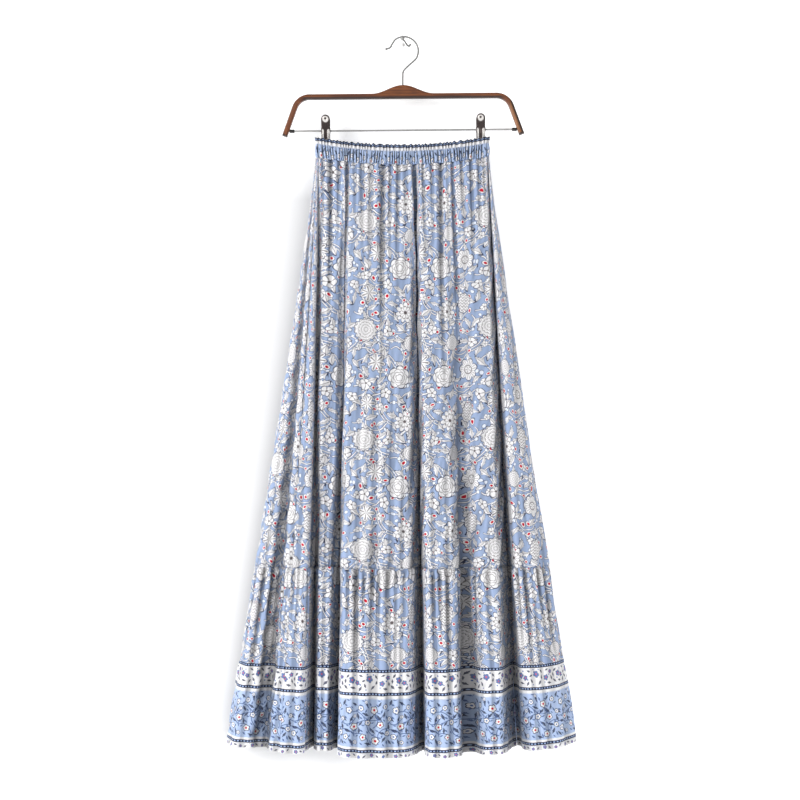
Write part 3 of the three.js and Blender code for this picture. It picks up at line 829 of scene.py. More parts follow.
def stitch_tree():
    """Short stitches of thread at even steps along a path."""
    made = Tree("stitches_along_path", {"Pitch": "Float", "Size": "Vector", "Material": "Material"})
    curve = made.add("MeshToCurve", {"Mesh": made.given["Geometry"]})
    node = made.add("CurveToPoints", {"Curve": curve, "Length": made.given["Pitch"]}, mode="LENGTH").node
    thread = made.add("MeshUVSphere", {"Segments": 6, "Rings": 5, "Radius": 1.0})
    values = {
        "Points": node.outputs["Points"],
        "Instance": thread,
        "Rotation": node.outputs["Rotation"],
        "Scale": made.given["Size"],
    }
    made.close(made.add("InstanceOnPoints", values))
    return made


def smooth_path(points, count):
    """An open curve through points, in count even parts."""
    points = np.array(points, float)
    steps = np.concatenate([[0], np.cumsum(np.linalg.norm(np.diff(points, axis=0), axis=1) ** 0.5)])
    slopes = np.gradient(points, steps, axis=0)
    at = np.linspace(0, steps[-1], count + 1)
    first = np.clip(np.searchsorted(steps, at, side="right") - 1, 0, len(points) - 2)
    width = (steps[first + 1] - steps[first])[:, None]
    t = ((at - steps[first])[:, None]) / width
    start, end = points[first], points[first + 1]
    ease = t**2 * (3 - 2 * t)
    return (
        start * (1 - ease)
        + end * ease
        + slopes[first] * width * t * (1 - t) ** 2
        - slopes[first + 1] * width * t**2 * (1 - t)
    )


# Shader expressions


def linear(red, green, blue):
    """A colour given as 0 to 255 on a screen, as a shader takes it."""
    def channel(value):
        part = value / 255
        return part / 12.92 if part <= 0.04045 else ((part + 0.055) / 1.055) ** 2.4

    return (channel(red), channel(green), channel(blue), 1.0)


class Term:
    """A node's socket in an expression. Vectors go through Vector Math and numbers through Math."""

    def __init__(self, finish, socket):
        self.finish = finish
        self.socket = socket

    def is_vector(self):
        return self.socket.type == "VECTOR"

    def maths(self, operation, *others, turned=False):
        terms = (*others, self) if turned else (self, *others)
        kind = "ShaderNodeVectorMath" if self.is_vector() else "ShaderNodeMath"
        values = {k: term for k, term in enumerate(terms)}
        return self.finish.add(kind, {"operation": operation}, values)

    def __add__(self, other):
        return self.maths("ADD", other)

    __radd__ = __add__

    def __sub__(self, other):
        return self.maths("SUBTRACT", other)

    def __rsub__(self, other):
        return self.maths("SUBTRACT", other, turned=True)

    def __mul__(self, other):
        return self.maths("MULTIPLY", other)

    __rmul__ = __mul__

    def __truediv__(self, other):
        return self.maths("DIVIDE", other)

    def __pow__(self, other):
        return self.maths("POWER", other)

    def __lt__(self, other):
        return self.maths("LESS_THAN", other)

    def __abs__(self):
        return self.maths("ABSOLUTE")

    def least(self, other):
        return self.maths("MINIMUM", other)

    def most(self, other):
        return self.maths("MAXIMUM", other)

    def sine(self):
        return self.maths("SINE")

    def fraction(self):
        return self.maths("FRACT")

    def floor(self):
        return self.maths("FLOOR")

    def wrapped(self, size):
        """A place taken round into one repeat about zero."""
        half = (size[0] / 2, size[1] / 2, 1.0)
        low = (-size[0] / 2, -size[1] / 2, -1.0)
        return self.maths("WRAP", half, low)

    def length(self):
        return self.finish.add("ShaderNodeVectorMath", {"operation": "LENGTH"}, {0: self}, "Value")

    def dot(self, other):
        values = {0: self, 1: other}
        return self.finish.add("ShaderNodeVectorMath", {"operation": "DOT_PRODUCT"}, values, "Value")

    def scaled(self, factor):
        return self.finish.add("ShaderNodeVectorMath", {"operation": "SCALE"}, {0: self, "Scale": factor})

    def turned(self, degrees):
        values = {"Vector": self, "Angle": math.radians(degrees)}
        return self.finish.add("ShaderNodeVectorRotate", {"rotation_type": "Z_AXIS"}, values)

    def parts(self):
        node = self.finish.node("ShaderNodeSeparateXYZ", {}, {0: self})
        return Term(self.finish, node.outputs["X"]), Term(self.finish, node.outputs["Y"])

    def angle(self):
        """The angle of a place about zero, in turns from 0 to 1."""
        x, y = self.parts()
        return y.maths("ARCTAN2", x) / (2 * math.pi) + 0.5

    def below(self, limit, soft):
        """1 where this is below a limit and 0 above it, with a soft edge."""
        settings = {"clamp": True}
        values = {"Value": self, "From Min": limit + soft / 2, "From Max": limit - soft / 2}
        return self.finish.add("ShaderNodeMapRange", settings, values)

    def above(self, limit, soft):
        settings = {"clamp": True}
        values = {"Value": self, "From Min": limit - soft / 2, "From Max": limit + soft / 2}
        return self.finish.add("ShaderNodeMapRange", settings, values)

    def between(self, low, high, soft):
        return self.above(low, soft) * self.below(high, soft)


class Finish:
    """A material while it is built. Every node comes from one method."""

    def __init__(self, name):
        self.material = bpy.data.materials.new(name)
        self.material.use_nodes = True
        self.tree = self.material.node_tree
        self.tree.nodes.clear()

    def node(self, kind, settings, values):
        node = self.tree.nodes.new(kind)
        for key, value in settings.items():
            if key == "stops":
                self.set_stops(node.color_ramp, value)
            else:
                setattr(node, key, value)
        for key, value in values.items():
            socket = node.inputs[key]
            if isinstance(value, Term):
                self.tree.links.new(value.socket, socket)
            elif socket.type == "VECTOR" and isinstance(value, (int, float)):
                socket.default_value = (value, value, value)
            else:
                socket.default_value = value
        return node

    @staticmethod
    def set_stops(ramp, stops):
        while len(ramp.elements) < len(stops):
            ramp.elements.new(1.0)
        for element, (place, colour) in zip(ramp.elements, stops):
            element.position = place
            element.color = colour

    def add(self, kind, settings, values, output=0):
        return Term(self, self.node(kind, settings, values).outputs[output])

    def mix(self, factor, a, b):
        settings = {"data_type": "RGBA"}
        node = self.node("ShaderNodeMix", settings, {"Factor": factor})
        for name, value in (("A", a), ("B", b)):
            socket = [s for s in node.inputs if s.name == name and s.type == "RGBA"][0]
            if isinstance(value, Term):
                self.tree.links.new(value.socket, socket)
            else:
                socket.default_value = value
        return Term(self, [s for s in node.outputs if s.type == "RGBA"][0])

    def choose(self, mask, a, b):
        """The place a where the mask is 0 and the place b where it is 1."""
        node = self.node("ShaderNodeMix", {"data_type": "VECTOR"}, {"Factor": mask})
        for name, value in (("A", a), ("B", b)):
            socket = [s for s in node.inputs if s.name == name and s.type == "VECTOR"][0]
            self.tree.links.new(value.socket, socket)
        return Term(self, [s for s in node.outputs if s.type == "VECTOR"][0])

    def tint(self, colour, factor):
        """A colour with its brightness multiplied by a number."""
        return self.add("ShaderNodeVectorMath", {"operation": "SCALE"}, {0: colour, "Scale": factor})

    def noise(self, place, scale, detail=2.0, roughness=0.5):
        values = {"Vector": place, "Scale": scale, "Detail": detail, "Roughness": roughness}
        return self.add("ShaderNodeTexNoise", {}, values)

    def surface(self, values, height=None, distance=0.001, strength=1.0):
        """The closing shader: its sockets by name, and a height that feeds its bump."""
        if height is not None:
            bump_values = {"Height": height, "Distance": distance, "Strength": strength}
            values["Normal"] = self.add("ShaderNodeBump", {}, bump_values)
        shader = self.add("ShaderNodeBsdfPrincipled", {}, values)
        self.node("ShaderNodeOutputMaterial", {}, {"Surface": shader})
        return self.material


# The print, in millimetres of flat cloth: x round the skirt, y up from the hem. Large flowers come once in
# each repeat, and the foliage between them comes again in two smaller repeats that fit into it.

REPEAT = (150.0, 178.0)
FOLIAGE = (75.0, 178.0 / 3)
SPRIGS = (50.0, 89.0)
WANDER = 5.0
MOTIF_COLUMNS = ("x", "y", "turn", "size")
MUMS = [(-15, 9, 0, 19.0), (62, -14, 20, 13.0)]
ROSES = [(42, -68, 20, 18.0)]
DAHLIAS = [(52, 38, 10, 17.0)]
FANS = [(-54, -58, -15, 17.0)]
BUDS = [(-58, 50, 8, 16.0)]
STARS = [(4, -44, 10, 14.5), (-10, 68, 50, 13.5)]
BLOSSOMS = [(20, 84, 0, 9.0), (-34, 80, 30, 8.0), (-46, -14, 12, 9.0), (24, 8, 40, 8.0), (-14, -80, 0, 9.0)]
SMALL_BLOSSOMS = [(10, 4, 0, 6.4), (-24, -20, 30, 5.6)]
LEAVES = [
    (-30, 12, 40, 9.0),
    (-16, 22, 120, 8.0),
    (-4, -14, -25, 9.0),
    (24, 18, 75, 8.5),
    (30, -8, 10, 8.0),
    (14, -24, 145, 8.5),
    (-12, -2, 95, 7.5),
]
SPRIG_LEAVES = [
    (-14, 30, 60, 8.0),
    (12, 16, -35, 8.5),
    (-10, -12, 15, 7.5),
    (16, -30, 100, 8.0),
]
BERRIES = [(-20, -8), (6, 16), (20, 4), (-2, -26)]
SPRIG_BERRIES = [(4, 36), (-18, 4), (2, -30)]
DOTS = [(-36, -2), (-8, 8), (34, 8), (6, -8), (22, -20)]
SPRIG_DOTS = [(-20, 20), (20, 26), (-6, -24), (22, -10), (-14, -42), (8, 8)]
# Stems: each is an arc of a circle about x, y with a radius, from one angle to another
STEM_COLUMNS = ("x", "y", "radius", "start", "end")
STEMS = [
    (-14, 2, 21, 20, 160),
    (6, -16, 19, 190, 330),
    (24, 10, 14, 90, 250),
    (-30, -10, 14, 250, 60),
]
VINES = [
    (-22, -24, 34, 350, 80),
    (30, 22, 40, 170, 262),
    (66, 20, 36, 215, 300),
    (-60, 10, 40, 280, 20),
    (8, -60, 30, 20, 120),
    (44, 66, 34, 190, 300),
]
SPRIG_STEMS = [
    (-6, 20, 17, 240, 30),
    (12, -22, 18, 60, 200),
    (-16, -36, 15, 330, 110),
]


def nearest(finish, place, motifs, repeat, stretch=None):
    """The place about the nearest of some motifs, in units of its size, and how far off it is."""
    best = None
    for motif in rows_of(MOTIF_COLUMNS, motifs):
        local = (place - (motif["x"], motif["y"], 0.0)).wrapped(repeat)
        if motif["turn"]:
            local = local.turned(motif["turn"])
        if stretch:
            local = local * (stretch[0] / motif["size"], stretch[1] / motif["size"], 0.0)
        else:
            local = local.scaled(1 / motif["size"])
        away = local.length()
        if best is None:
            best = (local, away)
        else:
            closer = away < best[1]
            best = (finish.choose(closer, best[0], local), away.least(best[1]))
    return best


def distance_to_points(place, points, repeat):
    best = None
    for x, y in points:
        away = (place - (x, y, 0.0)).wrapped(repeat).length()
        best = away if best is None else best.least(away)
    return best


def distance_to_stems(place, stems, repeat, pair=0.0):
    """The distance to the nearest stem, large past its ends. With a pair, to two lines that far from it."""
    best = None
    for stem in rows_of(STEM_COLUMNS, stems):
        local = (place - (stem["x"], stem["y"], 0.0)).wrapped(repeat)
        span = (stem["end"] - stem["start"]) % 360 / 2
        middle = math.radians(stem["start"] + span)
        reach = local.length()
        past = reach * math.cos(math.radians(span)) - local.dot((math.cos(middle), math.sin(middle), 0.0))
        away = abs(reach - stem["radius"])
        if pair:
            away = abs(away - pair)
        away = away.most(past)
        best = away if best is None else best.least(away)
    return best


def wave(angle, count):
    """A wave round a flower, with a ridge for each petal."""
    return abs((angle * (math.pi * count)).sine())


def scalloped(angle, petals, depth, power=0.6):
    """The edge of a flower by its angle in turns, 1 at a petal's tip."""
    return wave(angle, petals) ** power * depth + (1 - depth)


def leaf_edge(local):
    """A pointed leaf along x: under 1 inside it."""
    x, y = local.parts()
    lobes = abs((x * 4.6 + abs(y) * 2.5).sine()) * 0.55 + 0.7
    return abs(x) * 0.92 + (abs(y) * lobes) ** 1.4 * 0.85 + x * y * 0.25


class Print:
    """The colours of the print and the steps that lay them over one another."""

    GROUND = linear(151, 169, 202)
    CREAM = linear(232, 231, 233)
    LINE = linear(92, 84, 86)
    EDGE = linear(44, 51, 80)
    RED = linear(190, 14, 44)
    NAVY = linear(26, 34, 66)
    DEEP_BLUE = linear(72, 96, 146)
    SKY = linear(158, 180, 216)
    PALE_BLUE = linear(172, 190, 222)
    PALE = linear(226, 232, 244)
    FLOWER_BLUE = linear(96, 120, 172)
    PINK = linear(200, 96, 124)

    def __init__(self, finish, place):
        self.finish = finish
        self.place = place
        drift = finish.node("ShaderNodeTexNoise", {}, {"Vector": place, "Scale": 0.045, "Detail": 1.0})
        drift = Term(finish, drift.outputs["Color"])
        drift = finish.add("ShaderNodeVectorMath", {"operation": "SUBTRACT"}, {0: drift, 1: (0.5, 0.5, 0.5)})
        self.loose = place + drift.scaled(2.6 * WANDER)
        self.firm = place + drift.scaled(WANDER)
        self.start(self.GROUND)

    def lay(self, mask, colour):
        self.colour = self.finish.mix(mask, self.colour, colour)

    def start(self, colour):
        self.colour = self.finish.mix(0.0, colour, colour)

    def motif(self, away, fill, outline=0.075, soft=0.04):
        """A filled shape with a thin dark outline, its edge where away is 1."""
        self.lay(away.below(1 + outline, soft), self.EDGE)
        self.lay(away.below(1.0, soft), fill)

    def lines(self, inside, lines, strength=0.8):
        self.lay(inside * lines * strength, self.LINE)

    def stems(self, stems, repeat):
        away = distance_to_stems(self.loose, stems, repeat)
        self.lay(away.below(1.35, 0.4), self.EDGE)
        self.lay(away.below(0.8, 0.35), self.CREAM)

    def vines(self):
        """Long pairs of lines that swing out from the large flowers."""
        away = distance_to_stems(self.firm, VINES, REPEAT, pair=2.1)
        self.lay(away.below(1.3, 0.4), self.EDGE)
        self.lay(away.below(0.75, 0.35), self.CREAM)

    def leaves(self, leaves, repeat):
        local, _ = nearest(self.finish, self.loose, leaves, repeat, stretch=(1.0, 2.2))
        away = leaf_edge(local)
        self.motif(away, self.CREAM, outline=0.2, soft=0.1)
        _, y = local.parts()
        self.lines(away.below(0.9, 0.1), y.between(-0.1, 0.08, 0.08) + y.above(0.1, 0.1) * 0.3)

    def blossoms(self, blossoms, repeat):
        local, reach = nearest(self.finish, self.loose, blossoms, repeat)
        angle = local.angle()
        away = reach / scalloped(angle, 5, 0.34)
        self.motif(away, self.CREAM, outline=0.12, soft=0.08)
        self.lines(reach.below(0.74, 0.1), wave(angle, 5).below(0.3, 0.2))
        self.lay(reach.below(0.2, 0.08), self.LINE)

    def mums(self):
        """Ring upon ring of small round petals."""
        local, reach = nearest(self.finish, self.firm, MUMS, REPEAT)
        angle = local.angle()
        away = reach / scalloped(angle, 15, 0.22)
        self.motif(away, self.CREAM)
        ring = reach * 4.2
        turn = angle * (13 * math.pi) + ring.floor() * (math.pi / 2)
        petal = (ring + abs(turn.sine()) ** 0.7 * 0.55).fraction()
        self.lines(away.below(0.96, 0.04), petal.below(0.3, 0.14), 0.66)

    def roses(self):
        """Rounds of broad petals, one inside the other."""
        local, reach = nearest(self.finish, self.firm, ROSES, REPEAT)
        angle = local.angle()
        away = reach / scalloped(angle, 7, 0.26, 0.5)
        self.motif(away, self.CREAM)
        for petals, turn, edge in ((7, 0.07, 0.76), (6, 0.02, 0.53), (5, 0.1, 0.32)):
            rounds = reach / scalloped(angle + turn, petals, 0.26, 0.5)
            self.lines(rounds.below(edge + 0.035, 0.03), rounds.above(edge - 0.035, 0.03), 0.7)

    def dahlias(self):
        """Two rounds of pointed petals about a dark middle."""
        local, reach = nearest(self.finish, self.firm, DAHLIAS, REPEAT)
        angle = local.angle()
        away = reach / scalloped(angle, 11, 0.36, 0.85)
        self.motif(away, self.CREAM)
        self.lines(away.below(0.93, 0.05) * reach.above(0.5, 0.05), wave(angle, 11).below(0.3, 0.16))
        inner = reach / scalloped(angle + 0.045, 9, 0.4, 0.85)
        self.lines(inner.below(0.66, 0.04), inner.above(0.56, 0.04))
        self.lines(inner.below(0.5, 0.05), wave(angle + 0.045, 9).below(0.34, 0.16))
        self.lay(reach.below(0.16, 0.05), self.LINE)

    def fans(self):
        """Broad veined petals."""
        local, reach = nearest(self.finish, self.firm, FANS, REPEAT)
        angle = local.angle()
        away = reach / scalloped(angle, 7, 0.36, 0.55)
        self.motif(away, self.CREAM)
        self.lines(away.below(0.92, 0.05) * reach.above(0.42, 0.05), wave(angle, 21).below(0.34, 0.2))
        self.lines(reach.below(0.44, 0.04), reach.above(0.34, 0.04))
        self.lines(reach.below(0.3, 0.04), wave(angle, 5).below(0.4, 0.2))

    def buds(self):
        """Long buds of overlapping scales."""
        local, reach = nearest(self.finish, self.firm, BUDS, REPEAT, stretch=(1.4, 1.0))
        away = reach / scalloped(local.angle(), 9, 0.16)
        self.motif(away, self.CREAM)
        x, y = local.parts()
        scale = (y * 3.4 + abs((x * 5.6).sine()) * 0.7).fraction()
        self.lines(away.below(0.95, 0.05), scale.below(0.34, 0.14))

    def stars(self):
        """Leafy flowers with seven pointed lobes."""
        local, reach = nearest(self.finish, self.firm, STARS, REPEAT)
        angle = local.angle()
        away = reach / scalloped(angle, 7, 0.5, 1.1)
        self.motif(away, self.CREAM, outline=0.09)
        self.lines(away.below(0.9, 0.05), wave(angle, 7).above(0.93, 0.06))
        self.lines(reach.below(0.36, 0.05), wave(angle + 0.5, 7).below(0.45, 0.2))

    def berries(self):
        for points, repeat in ((BERRIES, FOLIAGE), (SPRIG_BERRIES, SPRIGS)):
            away = distance_to_points(self.loose, points, repeat)
            self.lay(away.below(4.3, 0.6), self.EDGE)
            self.lay(away.below(3.7, 0.6), self.CREAM)
            self.lay(away.below(2.15, 0.6), self.RED)

    def dots(self):
        for points, repeat in ((DOTS, FOLIAGE), (SPRIG_DOTS, SPRIGS)):
            dot = distance_to_points(self.loose, points, repeat)
            self.lay(dot.below(3.1, 0.5), self.EDGE)
            self.lay(dot.below(2.6, 0.5), self.PALE)

    def main_repeat(self):
        self.stems(STEMS, FOLIAGE)
        self.stems(SPRIG_STEMS, SPRIGS)
        self.vines()
        self.dots()
        self.leaves(LEAVES, FOLIAGE)
        self.leaves(SPRIG_LEAVES, SPRIGS)
        self.blossoms(SMALL_BLOSSOMS, FOLIAGE)
        self.berries()
        self.blossoms(BLOSSOMS, REPEAT)
        for step in (self.stars, self.fans, self.buds, self.dahlias, self.roses, self.mums):
            step()

    # The border, by its height above the hem

    def chain(self, height, low, high):
        """A navy band with a row of pale links along it."""
        middle = (low + high) / 2
        half = (high - low) / 2
        x, _ = self.place.parts()
        link = ((x / 5.4).fraction() - 0.5) * 5.4
        off = height - middle
        oval = (abs(link) * 0.8) ** 2 + (abs(off) * 1.15) ** 2
        self.lay(abs(off).below(half, 0.5), self.NAVY)
        self.lay(oval.below(1.7, 1.2) * abs(off).below(half, 0.4), self.SKY)

    def small_leaves(self, leaves, width, colour, repeat):
        local, _ = nearest(self.finish, self.loose, leaves, repeat, stretch=(1.0, width))
        self.lay(leaf_edge(local).below(1.0, 0.2) * 0.9, colour)

    def blue_band(self):
        self.start(self.PALE_BLUE)
        stems = distance_to_stems(self.loose, BLUE_BAND_STEMS, BORDER_REPEAT)
        self.lay(stems.below(0.7, 0.4) * 0.85, self.DEEP_BLUE)
        self.small_leaves(FINE_LEAVES, 2.6, self.DEEP_BLUE, FINE_REPEAT)
        self.small_leaves(BLUE_BAND_LEAVES, 2.8, self.EDGE, BORDER_REPEAT)
        for flowers, middle in ((BLUE_BAND_FLOWERS, self.FLOWER_BLUE), (RED_EYED_FLOWERS, self.RED)):
            local, reach = nearest(self.finish, self.loose, flowers, BORDER_REPEAT)
            away = reach / scalloped(local.angle(), 5, 0.35)
            self.lay(away.below(1.25, 0.15), self.EDGE)
            self.lay(away.below(1.0, 0.12), self.CREAM)
            self.lay(reach.below(0.36, 0.12), middle)
        return self.colour

    def white_band(self):
        self.start(self.CREAM)
        self.small_leaves(WHITE_BAND_LEAVES, 2.4, self.EDGE, BORDER_REPEAT)
        specks = distance_to_points(self.loose, WHITE_BAND_DOTS, BORDER_REPEAT)
        self.lay(specks.below(1.3, 0.4), self.FLOWER_BLUE)
        local, reach = nearest(self.finish, self.loose, WHITE_BAND_FLOWERS, BORDER_REPEAT)
        away = reach / scalloped(local.angle(), 5, 0.35)
        self.lay(away.below(1.12, 0.1) * 0.7, self.NAVY)
        self.lay(away.below(0.96, 0.12), self.FLOWER_BLUE)
        self.lay(reach.below(0.32, 0.12), self.PINK)
        return self.colour

    def border(self, height):
        """Lays the border over the main repeat, from the top of it down to the hem."""
        main = self.colour
        self.loose = self.firm
        blue_band, white_band = self.blue_band(), self.white_band()
        self.colour = main
        for top, colour, soft in (
            (WHITE_BAND_TOP, white_band, 0.6),
            (HIGH_WHITE_TOP, self.CREAM, 0.6),
            (BLUE_BAND_TOP, blue_band, 3.0),
            (LOW_WHITE_TOP, self.CREAM, 0.6),
            (HEM_BAND_TOP, white_band, 0.6),
        ):
            self.lay(height.below(top, soft), colour)
        for low in (WHITE_BAND_TOP, HIGH_WHITE_TOP, HEM_BAND_TOP):
            self.chain(height, low, low + CHAIN_HEIGHT)


# Heights in the border, above the hem
HEM_BAND_TOP = 8.8
LOW_WHITE_TOP = 17.6
BLUE_BAND_TOP = 94.5
HIGH_WHITE_TOP = 99.6
WHITE_BAND_TOP = 136.5
CHAIN_HEIGHT = 5.0

BORDER_REPEAT = (78.0, 200.0)
WHITE_BAND_FLOWERS = [
    (-26, 124, 0, 5.0),
    (-17, 120, 30, 4.0),
    (4, 126, 10, 5.4),
    (24, 120, 0, 4.4),
    (34, 128, 40, 3.6),
    (-30, 4, 0, 3.0),
    (-12, 3, 0, 2.6),
    (8, 5, 0, 3.2),
    (27, 3, 0, 2.6),
]
WHITE_BAND_LEAVES = [
    (-36, 113, 40, 4.0),
    (-33, 130, 130, 3.8),
    (-24, 112, 15, 4.2),
    (-12, 111, 120, 4.2),
    (-10, 131, 20, 3.6),
    (-4, 115, 60, 3.8),
    (10, 113, -50, 4.2),
    (15, 130, 50, 3.6),
    (15, 121, 100, 3.4),
    (30, 111, 10, 4.0),
    (36, 118, 75, 3.6),
    (-37, 122, 90, 3.4),
    (26, 132, -20, 3.4),
    (-6, 123, 150, 3.2),
    (-21, 5, 20, 3.0),
    (-4, 3, 140, 2.8),
    (17, 4, 40, 3.0),
    (35, 5, 120, 2.8),
]
WHITE_BAND_DOTS = [(-30, 117), (-12, 117), (-2, 109), (10, 133), (21, 113), (31, 123), (-21, 131), (0, 133)]
BLUE_BAND_FLOWERS = [
    (-30, 76, 0, 4.6),
    (-10, 80, 20, 3.8),
    (31, 82, 0, 3.6),
    (2, 56, 0, 4.4),
    (-34, 34, 0, 4.4),
    (33, 40, 10, 3.8),
    (-20, 66, 0, 2.8),
    (37, 62, 0, 3.2),
    (-20, 25, 0, 3.0),
    (-1, 90, 0, 2.4),
]
RED_EYED_FLOWERS = [
    (12, 76, 10, 5.4),
    (-22, 50, 30, 5.0),
    (22, 54, 15, 4.6),
    (-6, 34, 40, 4.6),
    (14, 27, 0, 5.2),
]
BLUE_BAND_LEAVES = [
    (-38, 62, 40, 5.4),
    (-26, 62, 110, 5.0),
    (-14, 66, 60, 5.4),
    (-2, 70, 20, 5.0),
    (8, 65, 130, 5.2),
    (20, 65, 50, 5.4),
    (28, 70, 100, 5.0),
    (-32, 44, 20, 5.4),
    (-13, 44, 80, 5.0),
    (10, 43, 45, 5.4),
    (27, 30, 120, 5.2),
    (-26, 26, 60, 5.4),
    (2, 23, 20, 5.0),
    (37, 25, 45, 4.8),
    (0, 86, 70, 5.0),
    (21, 86, 120, 4.8),
    (-20, 86, 30, 4.8),
    (36, 50, 75, 5.0),
    (-10, 55, 130, 4.8),
    (24, 41, 15, 4.8),
    (-38, 88, 110, 4.6),
]
FINE_REPEAT = (26.0, 20.0)
FINE_LEAVES = [
    (-9, 4, 30, 3.2),
    (-2, -5, 110, 3.0),
    (6, 5, 70, 3.4),
    (10, -4, 150, 2.8),
    (-6, -8, 10, 2.8),
    (1, 1, 50, 2.6),
]
BLUE_BAND_STEMS = [
    (-20, 56, 18, 20, 130),
    (-2, 40, 20, 90, 190),
    (22, 54, 22, 150, 260),
    (10, 78, 18, 220, 330),
    (-34, 70, 16, 250, 350),
    (30, 76, 18, 160, 250),
    (-14, 24, 16, 10, 120),
    (32, 34, 14, 80, 200),
    (4, 60, 14, 300, 60),
    (-36, 30, 16, 20, 110),
]


def printed_cloth(piece):
    """Thin printed viscose, fainter on its reverse. Only the flounce has both the repeat and the border."""
    finish = Finish(f"printed_{piece}")
    uv = finish.add("ShaderNodeUVMap", {"uv_map": "flat_cloth"}, {})
    flat = uv.scaled(1000.0)
    cloth = Print(finish, flat)
    if piece != "waistband":
        cloth.main_repeat()
    if piece != "panel":
        _, height = flat.parts()
        cloth.border(height)
    colour = cloth.colour
    slub = finish.noise(flat * (0.9, 0.12, 1.0), 1.0, 2.0)
    worn = finish.noise(flat, 0.013, 2.0)
    colour = finish.tint(colour, slub * 0.07 + worn * 0.06 + 0.935)
    # Painted shade of the folds and painted highlights on their crests, multiplied into the print
    shade = finish.add("ShaderNodeAttribute", {"attribute_name": "fold_shade"}, {}, "Fac")
    colour = finish.tint(colour, shade)
    reverse = finish.add("ShaderNodeAttribute", {"attribute_name": "reverse"}, {}, "Fac")
    colour = finish.mix(reverse * 0.4, colour, cloth.SKY)
    crinkle = finish.noise(flat * (0.34, 0.1, 1.0), 1.0, 3.0)
    values = {
        "Base Color": colour,
        "Roughness": slub * 0.12 + 0.72,
        "Sheen Weight": 0.12,
        "Sheen Roughness": 0.45,
        "Specular IOR Level": 0.3,
    }
    return finish.surface(values, crinkle * 0.9 + slub * 0.25, distance=0.0009, strength=0.55)


# Other finishes


def bent_wood():
    """Varnished bent wood, its grain along the beam and the arms. Painted shade darkens the beam's lower
    edge; the right arm below its joint is a lighter, painted-lit copy of the wood and darker along its outer
    side. The joints, the arms' feet, their edges low down and a nail are dark.
    """
    finish = Finish("varnished_wood")
    place = finish.add("ShaderNodeTexCoord", {}, {}, "Object")
    node = finish.node("ShaderNodeSeparateXYZ", {}, {0: place})
    x, z = Term(finish, node.outputs["X"]), Term(finish, node.outputs["Z"])
    z = z - x * math.tan(HANGER_TILT)
    side = abs(x)
    arm = side.above(0.178, 0.012)
    streaks = finish.choose(arm, place * (14.0, 120.0, 420.0), place * (420.0, 120.0, 30.0))
    grain = finish.noise(streaks, 1.0, 5.0, 0.6)
    pores = finish.noise(streaks * 3.0, 1.0, 3.0, 0.7)
    patch = finish.noise(place, 18.0, 2.0)
    mixed = grain * 0.8 + patch * 0.2
    beam_stops = [(0.28, linear(56, 24, 9)), (0.5, linear(116, 60, 22)), (0.74, linear(160, 92, 38))]
    # A lighter copy of the wood, painted light, for the right arm below its joint
    arm_stops = [(0.28, linear(104, 58, 22)), (0.5, linear(146, 90, 40)), (0.74, linear(176, 116, 56))]
    beam = finish.add("ShaderNodeValToRGB", {"stops": beam_stops}, {"Fac": mixed})
    lit_arm = finish.add("ShaderNodeValToRGB", {"stops": arm_stops}, {"Fac": mixed})
    below_joint = side.above(0.1775, 0.001) * (z + side * 0.9).below(0.0588, 0.001)
    colour = finish.mix(below_joint * x.above(0, 0.01), beam, lit_arm)
    colour = finish.mix(pores.below(0.4, 0.12) * 0.5, colour, linear(52, 20, 10))
    # Painted shade along the beam's lower edge
    underside_shade = z.below((BEAM_Z - 0.9) * MM, 0.0012) * side.below(0.166, 0.01)
    arm_middle = (ARM_END_X + ARM_END_Z * math.tan(ARM_SPLAY)) * MM
    leaning = side + z * math.tan(ARM_SPLAY)
    outer = leaning.above(arm_middle + 0.0016, 0.001) * below_joint * x.above(0, 0.01)
    joint = abs(z + side * 0.9 - 0.0588).below(0.0011, 0.0007) * side.above(0.1775, 0.002)
    foot = (z - side * 0.36).below((ARM_END_Z + 3.4 - 0.36 * ARM_END_X) * MM, 0.002)
    edges = abs(leaning - arm_middle).above(0.0036, 0.001) * side.above(0.19, 0.004) * 0.7
    nail = (place - (-0.1925, -HANGER_OUT * MM - 0.006, -0.1443)).length().below(0.0013, 0.0006)
    dark = underside_shade.most(outer).most(joint).most(foot).most(edges).most(nail)
    colour = finish.mix(dark * 0.9, colour, linear(30, 13, 10))
    values = {
        "Base Color": colour,
        "Roughness": pores * 0.2 + 0.36,
        "Coat Weight": 0.12,
        "Coat Roughness": 0.2,
    }
    return finish.surface(values, grain * 0.5 + pores * 0.5, distance=0.0004, strength=0.4)


def polished_steel(name, shade, roughness, metallic=1.0):
    finish = Finish(name)
    place = finish.add("ShaderNodeTexCoord", {}, {}, "Object")
    smear = finish.noise(place, 160.0, 3.0)
    fine = finish.noise(place, 1400.0, 2.0)
    colour = finish.mix(smear, linear(shade, shade, shade - 2), linear(shade - 34, shade - 35, shade - 36))
    values = {
        "Base Color": colour,
        "Metallic": metallic,
        "Roughness": smear * 0.16 + (roughness - 0.06),
    }
    return finish.surface(values, fine, distance=0.00005, strength=0.3)


def pressed_steel():
    """Pressed sheet of the clips: a painted highlight makes its raised parts near white and less metallic,
    and the rest, hollows too, is dull and dark.
    """
    finish = Finish("pressed_steel")
    place = finish.add("ShaderNodeTexCoord", {}, {}, "Object")
    gleam = finish.add("ShaderNodeAttribute", {"attribute_name": "gleam"}, {}, "Fac")
    smear = finish.noise(place, 260.0, 3.0)
    fine = finish.noise(place, 1400.0, 2.0)
    dull = finish.mix(smear, linear(104, 92, 90), linear(58, 54, 54))
    # Painted highlight on the raised parts
    colour = finish.mix(gleam, dull, linear(240, 236, 232))
    values = {
        "Base Color": colour,
        "Metallic": 0.85 - gleam * 0.6,
        "Roughness": smear * 0.15 + 0.22,
    }
    return finish.surface(values, fine, distance=0.00004, strength=0.3)


